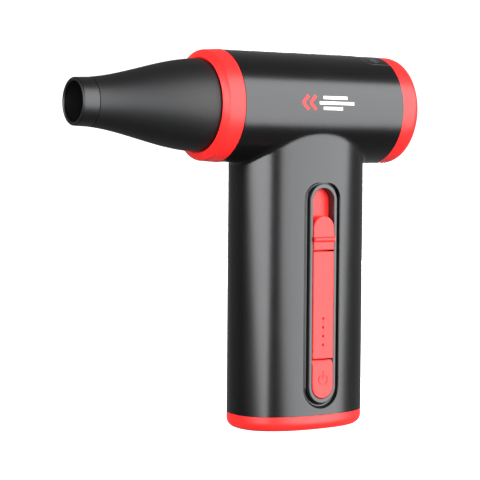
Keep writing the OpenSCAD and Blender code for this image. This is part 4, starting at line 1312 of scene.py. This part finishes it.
def math_node(tree, operation, first, second):
    """The output of a Math node; each input is a socket or a number."""
    node = add(tree, "ShaderNodeMath", operation=operation)
    for slot, value in enumerate((first, second)):
        if isinstance(value, (int, float)):
            node.inputs[slot].default_value = value
        else:
            tree.links.new(value, node.inputs[slot])
    return node.outputs[0]


def bar_section(tree, width, depth):
    """A small rounded rectangle as the section of a moulded bar."""
    box = add(tree, "GeometryNodeCurvePrimitiveQuadrilateral", links={"Width": width, "Height": depth})
    return add(
        tree,
        "GeometryNodeFilletCurve",
        {"Radius": 0.25 * M, "Count": 3},
        {"Curve": box.outputs[0]},
        mode="POLY",
    ).outputs[0]


def grille_tree():
    """Rings and spokes of round-edged bars, drawn in the plane of X and Y and then stood upright."""
    tree, given = new_tree(
        "rings and spokes",
        (
            "Ring Count",
            "Spoke Count",
            "First radius",
            "Pitch",
            "Width",
            "Depth",
            "Hub radius",
            "Rim radius",
            "Finish",
        ),
    )
    index = add(tree, "GeometryNodeInputIndex").outputs[0]
    row = add(
        tree, "GeometryNodeMeshLine", {"Offset": (0, 0, 0)}, {"Count": given["Ring Count"]}, mode="OFFSET"
    )
    circle = add(tree, "GeometryNodeCurvePrimitiveCircle", {"Resolution": 96, "Radius": 1.0}, mode="RADIUS")
    radius = math_node(
        tree, "ADD", math_node(tree, "MULTIPLY", index, given["Pitch"]), given["First radius"]
    )
    grow = add(tree, "ShaderNodeCombineXYZ", {"Z": 1.0}, {"X": radius, "Y": radius})
    rings = add(
        tree,
        "GeometryNodeInstanceOnPoints",
        links={"Points": row.outputs[0], "Instance": circle.outputs[0], "Scale": grow.outputs[0]},
    )
    loops = add(tree, "GeometryNodeRealizeInstances", links={"Geometry": rings.outputs[0]})
    section = bar_section(tree, given["Width"], given["Depth"])
    bars = add(
        tree,
        "GeometryNodeCurveToMesh",
        {"Fill Caps": True},
        {"Curve": loops.outputs[0], "Profile Curve": section},
    )
    start = add(tree, "ShaderNodeCombineXYZ", links={"X": given["Hub radius"]})
    end = add(tree, "ShaderNodeCombineXYZ", links={"X": given["Rim radius"]})
    beam = add(
        tree, "GeometryNodeCurvePrimitiveLine", links={"Start": start.outputs[0], "End": end.outputs[0]}
    )
    spoke = add(
        tree,
        "GeometryNodeCurveToMesh",
        {"Fill Caps": True},
        {"Curve": beam.outputs[0], "Profile Curve": section},
    )
    middle = add(
        tree, "GeometryNodeMeshLine", {"Offset": (0, 0, 0)}, {"Count": given["Spoke Count"]}, mode="OFFSET"
    )
    turn = math_node(tree, "DIVIDE", math_node(tree, "MULTIPLY", index, 2 * math.pi), given["Spoke Count"])
    facing = add(tree, "ShaderNodeCombineXYZ", links={"Z": turn})
    spokes = add(
        tree,
        "GeometryNodeInstanceOnPoints",
        links={"Points": middle.outputs[0], "Instance": spoke.outputs[0], "Rotation": facing.outputs[0]},
    )
    hub = add(
        tree,
        "GeometryNodeMeshCylinder",
        {"Vertices": 48},
        {"Radius": given["Hub radius"], "Depth": given["Depth"]},
    )
    end_tree(tree, (bars.outputs[0], spokes.outputs[0], hub.outputs[0]), given)
    return tree


def woven_tree():
    """A round piece of plain-woven wire: straight wires both ways that pass over and under each other."""
    tree, given = new_tree("woven wire", ("Wire Count", "Pitch", "Radius", "Wire radius", "Finish"))
    index = add(tree, "GeometryNodeInputIndex").outputs[0]
    half = math_node(tree, "DIVIDE", math_node(tree, "SUBTRACT", given["Wire Count"], 1), 2)
    offset = math_node(tree, "MULTIPLY", math_node(tree, "SUBTRACT", index, half), given["Pitch"])
    chord = math_node(
        tree,
        "SQRT",
        math_node(
            tree,
            "SUBTRACT",
            math_node(tree, "MULTIPLY", given["Radius"], given["Radius"]),
            math_node(tree, "MULTIPLY", offset, offset),
        ),
        0,
    )
    row = add(tree, "GeometryNodeMeshLine", links={"Count": given["Wire Count"]}, mode="OFFSET")
    place = add(tree, "ShaderNodeCombineXYZ", links={"Y": offset})
    placed = add(
        tree, "GeometryNodeSetPosition", links={"Geometry": row.outputs[0], "Position": place.outputs[0]}
    )
    beam = add(tree, "GeometryNodeCurvePrimitiveLine", {"Start": (-1, 0, 0), "End": (1, 0, 0)})
    fine = add(tree, "GeometryNodeResampleCurve", {"Count": 76}, {"Curve": beam.outputs[0]})
    reach = add(tree, "ShaderNodeCombineXYZ", {"Y": 1.0, "Z": 1.0}, {"X": chord})
    wires = add(
        tree,
        "GeometryNodeInstanceOnPoints",
        links={"Points": placed.outputs[0], "Instance": fine.outputs[0], "Scale": reach.outputs[0]},
    )
    real = add(tree, "GeometryNodeRealizeInstances", links={"Geometry": wires.outputs[0]})
    where = add(tree, "ShaderNodeSeparateXYZ", links={0: add(tree, "GeometryNodeInputPosition").outputs[0]})
    phase = math_node(tree, "DIVIDE", math.pi, given["Pitch"])
    waves = [
        math_node(tree, "COSINE", math_node(tree, "MULTIPLY", where.outputs[axis], phase), 0)
        for axis in (0, 1)
    ]
    height = math_node(tree, "MULTIPLY", math_node(tree, "MULTIPLY", *waves), given["Wire radius"])
    section = add(
        tree, "GeometryNodeCurvePrimitiveCircle", {"Resolution": 5}, {"Radius": given["Wire radius"]}
    )
    layers = []
    for sign in (1, -1):
        lift = add(tree, "ShaderNodeCombineXYZ", links={"Z": math_node(tree, "MULTIPLY", height, sign)})
        bent = add(
            tree, "GeometryNodeSetPosition", links={"Geometry": real.outputs[0], "Offset": lift.outputs[0]}
        )
        solid = add(
            tree,
            "GeometryNodeCurveToMesh",
            {"Fill Caps": True},
            {"Curve": bent.outputs[0], "Profile Curve": section.outputs[0]},
        )
        turned = add(
            tree,
            "GeometryNodeTransform",
            {"Rotation": (0, 0, 0 if sign > 0 else math.pi / 2)},
            {"Geometry": solid.outputs[0]},
        )
        layers.append(turned.outputs[0])
    end_tree(tree, layers, given)
    return tree


def stand_on_axis(obj, x):
    """Turns a piece drawn flat so that it faces the rear, centred on the head's axis at x."""
    obj.data.transform(Matrix.Translation((x * M, 0, AXIS_Z * M)) @ Matrix.Rotation(math.pi / 2, 4, "Y"))


class BLOWER_OT_intake(bpy.types.Operator):
    """Builds the rear grille and the woven filter in front of it"""

    bl_idname = "blower.intake"
    bl_label = "Air intake"

    def execute(self, context):
        rings, pitch, hub, width = 4, 3.6, 5.0, 1.2
        depth = grille_high[0] - grille_low[0]
        rim_r = grille_high[1]
        values = {
            "Ring Count": rings,
            "Spoke Count": 6,
            "First radius": (hub + pitch + width / 2) * M,
            "Pitch": pitch * M,
            "Width": width * M,
            "Depth": (depth - 0.1) * M,
            "Hub radius": hub * M,
            "Rim radius": (rim_r - 0.6) * M,
            "Finish": finish("satin_black_abs"),
        }
        grille = from_nodes("intake_grille_bars", grille_tree(), values)
        stand_on_axis(grille, (grille_low[0] + grille_high[0]) / 2)
        rim = soften(
            [
                (grille_low[0], rim_r - 2.1),
                (grille_high[0], rim_r - 2.1),
                (grille_high[0], rim_r),
                (grille_low[0], rim_r),
            ],
            [0.1, 0.35, 0.35, 0.1],
            3,
        )
        ring = lathe("rim", rim, 128)
        whole = bmesh.new()
        for part in (grille, ring):
            whole.from_mesh(part.data)
            bpy.data.objects.remove(part)
        grille = piece("intake_grille_moulding", whole)
        round_edges(grille, 0)
        ready(grille, finish("satin_black_abs"), ["intake_grille"], "body")
        wire_r = 0.16
        values = {
            "Wire Count": 37,
            "Pitch": 1.2 * M,
            "Radius": (filter_high[1] - 0.4) * M,
            "Wire radius": wire_r * M,
            "Finish": finish("drawn_stainless"),
        }
        weave = from_nodes("woven_filter_wires", woven_tree(), values)
        stand_on_axis(weave, (filter_low[0] + filter_high[0]) / 2)
        outer, inner = filter_high[1] - 0.1, filter_high[1] - 1.1
        front, rear = filter_low[0], filter_high[0]
        fold = soften([(front, inner), (rear, inner), (rear, outer), (front, outer)], [0.2] * 4, 3)
        hem = lathe("hem", fold, 96)
        whole = bmesh.new()
        for part in (weave, hem):
            whole.from_mesh(part.data)
            bpy.data.objects.remove(part)
        weave = piece("intake_filter_weave", whole)
        ready(weave, finish("drawn_stainless"), ["intake_filter"], "body")
        return {"FINISHED"}


# ---------- Screws, by Geometry Nodes ----------


def screw_tree():
    """Copies one screw to every point of two crossed rows."""
    tree, given = new_tree("screws in places", ("Across Count", "Up Count", "Width", "Height", "Finish"))
    grid = add(
        tree,
        "GeometryNodeMeshGrid",
        links={
            "Size X": given["Width"],
            "Size Y": given["Height"],
            "Vertices X": given["Across Count"],
            "Vertices Y": given["Up Count"],
        },
    )
    shank = add(
        tree, "GeometryNodeMeshCylinder", {"Vertices": 20, "Radius": 1.15 * M, "Depth": 6 * M}
    )
    below = add(
        tree, "GeometryNodeTransform", {"Translation": (0, 0, -4.6 * M)}, {"Geometry": shank.outputs["Mesh"]}
    )
    dome = add(
        tree, "GeometryNodeMeshUVSphere", {"Segments": 40, "Rings": 24, "Radius": SCREW_HEAD_R * M}
    )
    flat = add(
        tree,
        "GeometryNodeTransform",
        {"Translation": (0, 0, -1.0 * M), "Scale": (0.97, 0.97, 0.36)},
        {"Geometry": dome.outputs["Mesh"]},
    )
    skirt = add(
        tree,
        "GeometryNodeMeshCylinder",
        {"Vertices": 40, "Radius": SCREW_HEAD_R * 0.97 * M, "Depth": 0.7 * M},
    )
    lowered = add(
        tree,
        "GeometryNodeTransform",
        {"Translation": (0, 0, -1.35 * M)},
        {"Geometry": skirt.outputs["Mesh"]},
    )
    head = add(
        tree,
        "GeometryNodeMeshBoolean",
        links={"Mesh 2": flat.outputs[0]},
        operation="UNION",
        solver="EXACT",
    )
    tree.links.new(lowered.outputs[0], head.inputs["Mesh 2"])
    slots = []
    for size in ((2.6, 0.55, 1.3), (0.55, 2.6, 1.3)):
        bar = add(tree, "GeometryNodeMeshCube", {"Size": tuple(v * M for v in size)})
        slots.append(bar.outputs["Mesh"])
    recess = add(
        tree,
        "GeometryNodeMeshBoolean",
        links={"Mesh 1": head.outputs[0]},
        operation="DIFFERENCE",
        solver="EXACT",
    )
    for slot in slots:
        tree.links.new(slot, recess.inputs["Mesh 2"])
    one = add(tree, "GeometryNodeJoinGeometry")
    for part in (recess.outputs[0], below.outputs[0]):
        tree.links.new(part, one.inputs[0])
    placed = add(
        tree,
        "GeometryNodeInstanceOnPoints",
        links={"Points": grid.outputs["Mesh"], "Instance": one.outputs[0]},
    )
    end_tree(tree, (placed.outputs[0],), given)
    return tree


class BLOWER_OT_screws(bpy.types.Operator):
    """Builds the cross-recess screws of the shells and of the base"""

    bl_idname = "blower.screws"
    bl_label = "Screws"

    def execute(self, context):
        tree = screw_tree()
        for name, node, low, high, turn, level in (
            ("shell_screw_heads", "shell_screws", shell_screws_low, shell_screws_high, -math.pi / 2, 9.8),
            ("base_screw_heads", "base_screws", base_screws_low, base_screws_high, math.pi, 0.4),
        ):
            across = high - low - 2 * SCREW_HEAD_R
            middle = (high + low) / 2
            upright = node == "shell_screws"
            values = {
                "Across Count": 2,
                "Up Count": 2,
                "Width": across[0] * M,
                "Height": (across[2] if upright else across[1]) * M,
                "Finish": finish("zinc_steel"),
            }
            obj = from_nodes(name, tree, values)
            centre = (middle[0], level, middle[2]) if upright else (middle[0], middle[1], level)
            place = Matrix.Translation(Vector(centre) * M) @ Matrix.Rotation(turn, 4, "X")
            obj.data.transform(place)
            round_edges(obj, 0)
            ready(obj, finish("zinc_steel"), [node], "body")
        return {"FINISHED"}


# ---------- Display window and printed mark ----------


class BLOWER_OT_display(bpy.types.Operator):
    """Builds the smoked lens over the display, the small mark on it and a painted highlight along its border
    """

    bl_idname = "blower.display"
    bl_label = "Display"

    def execute(self, context):
        lens_r = HEAD_R - 0.3
        low_x, half_w, corner = window_low[0] + 0.06, window_high[1] - 0.06, 4.0
        high_x = HEAD_REAR - 0.05
        skin = Skin()
        rows = 24
        turns = np.linspace(-1, 1, 2 * rows + 1)
        lines = []
        for share in turns:
            y = half_w * share
            inset = 0.0
            over = abs(y) - (half_w - corner)
            if over > 0:
                inset = corner - math.sqrt(max(0.0, corner**2 - over**2))
            xs = np.linspace(low_x + inset, high_x, 17)
            lines.append([(x, y, AXIS_Z + math.sqrt(lens_r**2 - y * y)) for x in xs])
        skin.loft(lines)
        bm = skin.bmesh()
        face_outwards(bm, Vector((0, 0, AXIS_Z)) * M)
        lens = piece("display_lens", bm)
        thicken(lens, 1.2)
        apply_modifiers(lens)
        round_edges(lens, 0.12)
        ready(lens, finish("smoked_acrylic"), ["display_window"], "body")
        self.paint_edge_highlight_and_print_fan(lens_r + FILM, low_x, half_w, corner, high_x)
        return {"FINISHED"}

    def paint_edge_highlight_and_print_fan(self, r, low_x, half_w, corner, high_x):
        """Prints a grey line round the lens's border as a painted edge highlight, and a small fan sign."""
        skin = Skin()
        edge, line = 0.35, 0.13
        far, near, turn = half_w - edge, low_x + edge, corner - edge
        # The border line is a painted highlight: grey ink where the lens's edge catches the light.
        border = along([(high_x - edge, -far), (near + turn, -far)], 12)[:-1]
        border += arc(near + turn, -far + turn, turn, 270, 180, 10)
        border += along([(near, -far + turn), (near, far - turn)], 24)[1:-1]
        border += arc(near + turn, far - turn, turn, 180, 90, 10)
        border += along([(near + turn, far), (high_x - edge, far)], 12)[1:]
        ribbon(skin, border, line, r, on_top)
        centre, rim_r = (low_x + 8.0, -11.8), 1.9
        ribbon(skin, arc(*centre, rim_r, 0, 360, 40)[:-1], line * 1.3, r, on_top, closed=True)
        for turn in (30, 150, 270):
            blade = arc(*centre, rim_r * 0.85, turn, turn + 40, 6)
            root = along([centre, blade[0]], 5)
            ribbon(skin, root[1:], line * 2.2, r, on_top)
        obj = piece("display_painted_edge_highlight_and_print", skin.bmesh(), smooth=False)
        ready(obj, finish("grey_print_and_painted_edge_highlight"), [], "body")


FILM = 0.025  # thickness of a printed film


def on_side(x, v, r):
    """The point of the head's control side at x and a height above its axis."""
    return (x, -math.sqrt(r * r - v * v), AXIS_Z + v)


def on_top(x, v, r):
    """The point of the head's top at x and a place across it."""
    return (x, v, AXIS_Z + math.sqrt(r * r - v * v))


def ribbon(skin, line, half, r, place, closed=False):
    """A thin printed stroke of even width along points of the head's surface."""
    line = [np.array(p, float) for p in line]
    count = len(line)
    left, right = [], []
    for i, p in enumerate(line):
        ahead = line[(i + 1) % count if closed else min(i + 1, count - 1)]
        behind = line[i - 1 if closed else max(i - 1, 0)]
        across = np.array([behind[1] - ahead[1], ahead[0] - behind[0]])
        across /= np.linalg.norm(across)
        left.append(p + across * half)
        right.append(p - across * half)
    edges = ((left, r), (right, r), (right, r - FILM), (left, r - FILM))
    ring = [[place(*p, depth) for p in edge] for edge, depth in edges]
    skin.loft(ring, closed=closed, around=True)
    if not closed:
        skin.fill([corners[0] for corners in ring])
        skin.fill([corners[-1] for corners in ring])


class BLOWER_OT_mark(bpy.types.Operator):
    """Prints a plain airflow mark on the head: two arrowheads and three streams of air"""

    bl_idname = "blower.mark"
    bl_label = "Airflow mark"

    def execute(self, context):
        r = HEAD_R - 0.01
        low, high = -1.6, 5.2
        middle, bar = (low + high) / 2, 0.75
        white = Skin()
        for height, start, end in ((high - bar, -3.2, 11.5), (middle, -5.6, 15.5), (low + bar, -3.2, 8.5)):
            ribbon(white, [(x, height) for x in np.linspace(start, end, 12)], bar, r, on_side)
        obj = piece("airflow_mark_white", white.bmesh(), smooth=False)
        ready(obj, finish("pad_print_ink"), [], "body")
        red = Skin()
        for x in (-14.0, -9.6):
            tip = (x - 1.6, middle)
            for end in (high, low):
                ribbon(red, along([tip, (x + 1.9, end)], 8), 0.8, r, on_side)
        obj = piece("airflow_mark_red", red.bmesh(), smooth=False)
        ready(obj, finish("red_print_ink"), [], "body")
        return {"FINISHED"}


# ---------- Studio ----------


def soft_box(name, azimuth, elevation, half_w, half_h, distance, radiance):
    """A rectangular lamp that faces the handle. Azimuth is from the control side towards the nozzle,
    and the half sizes are angles as the handle sees them, all in degrees."""
    a, e = math.radians(azimuth), math.radians(elevation)
    aim = Vector((0, 0, 0.11))
    out = Vector((-math.sin(a) * math.cos(e), -math.cos(a) * math.cos(e), math.sin(e)))
    lamp = bpy.data.lights.new(name, "AREA")
    lamp.shape = "RECTANGLE"
    lamp.size = 2 * distance * math.tan(math.radians(half_w))
    lamp.size_y = 2 * distance * math.tan(math.radians(half_h))
    lamp.energy = radiance * math.pi * lamp.size * lamp.size_y
    lamp.color = (0.975, 0.985, 1.0)
    obj = bpy.data.objects.new(name, lamp)
    obj.location = aim + out * distance
    obj.rotation_mode = "QUATERNION"
    obj.rotation_quaternion = (-out).to_track_quat("-Z", "Z")
    obj.visible_camera = False
    bpy.context.scene.collection.objects.link(obj)
    return obj


class BLOWER_OT_studio(bpy.types.Operator):
    """Sets up the pale floor, the soft boxes and the camera"""

    bl_idname = "blower.studio"
    bl_label = "Studio"

    def execute(self, context):
        self.floor()
        self.lamps()
        self.camera()
        return {"FINISHED"}

    def floor(self):
        radius, rise = 6.0, 5.0
        skin = Skin()
        turns = np.linspace(0, 2 * math.pi, 96, endpoint=False)
        profile = [(0.4, 0), (radius - 2, 0)]
        bend = np.radians(np.linspace(8, 90, 12))
        profile += [(radius - 2 + 2 * math.sin(a), 2 - 2 * math.cos(a)) for a in bend]
        profile += [(radius, rise), (0.5, rise + 3)]
        rings = [[(q / M * math.cos(t), q / M * math.sin(t), h / M) for t in turns] for q, h in profile]
        skin.loft(rings, closed=True)
        skin.fill(rings[0])
        skin.fill(rings[-1])
        cove = piece("pale_cove", skin.bmesh())
        material, tree = new_material("pale_painted_cove")
        place = add(tree, "ShaderNodeTexCoord").outputs["Object"]
        haze = add(tree, "ShaderNodeTexNoise", {"Scale": 2.0, "Detail": 2.0}, {"Vector": place})
        tone = add(
            tree,
            "ShaderNodeMapRange",
            {"From Min": 0.3, "From Max": 0.7, "To Min": 0.86, "To Max": 0.9},
            {"Value": haze.outputs["Fac"]},
        )
        paint = add(
            tree,
            "ShaderNodeBsdfPrincipled",
            {
                "Roughness": 0.9,
                "Specular IOR Level": 0.0,
                "Emission Color": (1, 1, 1, 1),
                "Emission Strength": 1.15,
            },
            {"Base Color": tone.outputs[0]},
        )
        add(tree, "ShaderNodeOutputMaterial", links={"Surface": paint.outputs[0]})
        cove.data.materials.append(material)
        cove.visible_diffuse = False
        cove.visible_glossy = False
        cove.visible_shadow = False

    def lamps(self):
        s = studio()
        soft_box("key_soft_box", -28.5, 12.5, 35.5, 37, 1.5, s.key)
        soft_box("side_soft_box", 71.5, 8, 14.5, 38, 1.5, s.strip)
        soft_box("back_soft_box", 215, 2, 11, 11, 1.5, s.back)
        world = bpy.data.worlds.new("dim_room")
        world.use_nodes = True
        tree = world.node_tree
        tree.nodes.clear()
        ahead = add(tree, "ShaderNodeTexCoord").outputs["Generated"]
        facing = add(
            tree, "ShaderNodeVectorMath", {1: (0.57, 0.82, 0.0)}, {0: ahead}, operation="DOT_PRODUCT"
        )
        level = add(
            tree,
            "ShaderNodeMapRange",
            {"From Min": 0.0, "From Max": 1.0, "To Min": s.fill, "To Max": s.rear_fill},
            {"Value": facing.outputs["Value"]},
        )
        glow = add(tree, "ShaderNodeBackground", {"Color": (1, 1, 1, 1)}, {"Strength": level.outputs[0]})
        add(tree, "ShaderNodeOutputWorld", links={"Surface": glow.outputs[0]})
        bpy.context.scene.world = world

    def camera(self):
        pan, tilt, roll = math.radians(32.98), -0.045, math.radians(0.426)
        ahead = Vector((math.sin(pan) * math.cos(tilt), math.cos(pan) * math.cos(tilt), math.sin(tilt)))
        right = Vector((math.cos(pan), -math.sin(pan), 0))
        up = right.cross(ahead)
        right, up = (
            right * math.cos(roll) + up * math.sin(roll),
            up * math.cos(roll) - right * math.sin(roll),
        )
        lens = bpy.data.cameras.new("camera")
        lens.sensor_width, lens.lens = 36, 123.63
        lens.clip_start, lens.clip_end = 0.05, 50
        lens.shift_x, lens.shift_y = -0.0008, 0.001
        camera = bpy.data.objects.new("camera", lens)
        turn = Matrix((right, up, -ahead)).transposed().to_4x4()
        camera.matrix_world = Matrix.Translation((-0.4806, -0.689, (AXIS_Z - 29.7) * M)) @ turn
        bpy.context.scene.collection.objects.link(camera)
        bpy.context.scene.camera = camera
        bpy.context.scene.view_settings.view_transform = "Standard"


class BLOWER_OT_cad_finishes(bpy.types.Operator):
    """Gives every CAD node that stays its finish"""

    bl_idname = "blower.cad_finishes"
    bl_label = "Inner parts"

    def execute(self, context):
        slots = {row["node"]: row["material_slot"] for row in frame["record"]["subparts"]}
        for name, obj in frame["nodes"].items():
            obj.data.materials.clear()
            obj.data.materials.append(finish(SLOT_FINISHES[slots[name]]))
        return {"FINISHED"}


OPERATORS = (
    BLOWER_OT_studio,
    BLOWER_OT_cad_finishes,
    BLOWER_OT_casings,
    BLOWER_OT_rings,
    BLOWER_OT_nozzle,
    BLOWER_OT_base,
    BLOWER_OT_controls,
    BLOWER_OT_intake,
    BLOWER_OT_screws,
    BLOWER_OT_display,
    BLOWER_OT_mark,
)


class BLOWER_PT_panel(bpy.types.Panel):
    """Lists the steps that build the blower"""

    bl_idname = "BLOWER_PT_panel"
    bl_label = "Car dryer blower"
    bl_space_type = "VIEW_3D"
    bl_region_type = "UI"
    bl_category = "Blower"

    def draw(self, context):
        for group in (sizes(), colours(), studio()):
            box = self.layout.box()
            for name in group.__annotations__:
                box.prop(group, name)
        for operator in OPERATORS:
            self.layout.operator(operator.bl_idname)


CLASSES = (BlowerSizes, BlowerColours, BlowerStudio, *OPERATORS, BLOWER_PT_panel)


def register():
    for cls in CLASSES:
        bpy.utils.register_class(cls)
    bpy.types.Scene.blower_sizes = PointerProperty(type=BlowerSizes)
    bpy.types.Scene.blower_colours = PointerProperty(type=BlowerColours)
    bpy.types.Scene.blower_studio = PointerProperty(type=BlowerStudio)


def unregister():
    del bpy.types.Scene.blower_studio
    del bpy.types.Scene.blower_colours
    del bpy.types.Scene.blower_sizes
    for cls in reversed(CLASSES):
        bpy.utils.unregister_class(cls)


def main():
    register()
    for operator in OPERATORS:
        group, name = operator.bl_idname.split(".")
        getattr(getattr(bpy.ops, group), name)()


if __name__ == "__main__":
    main()
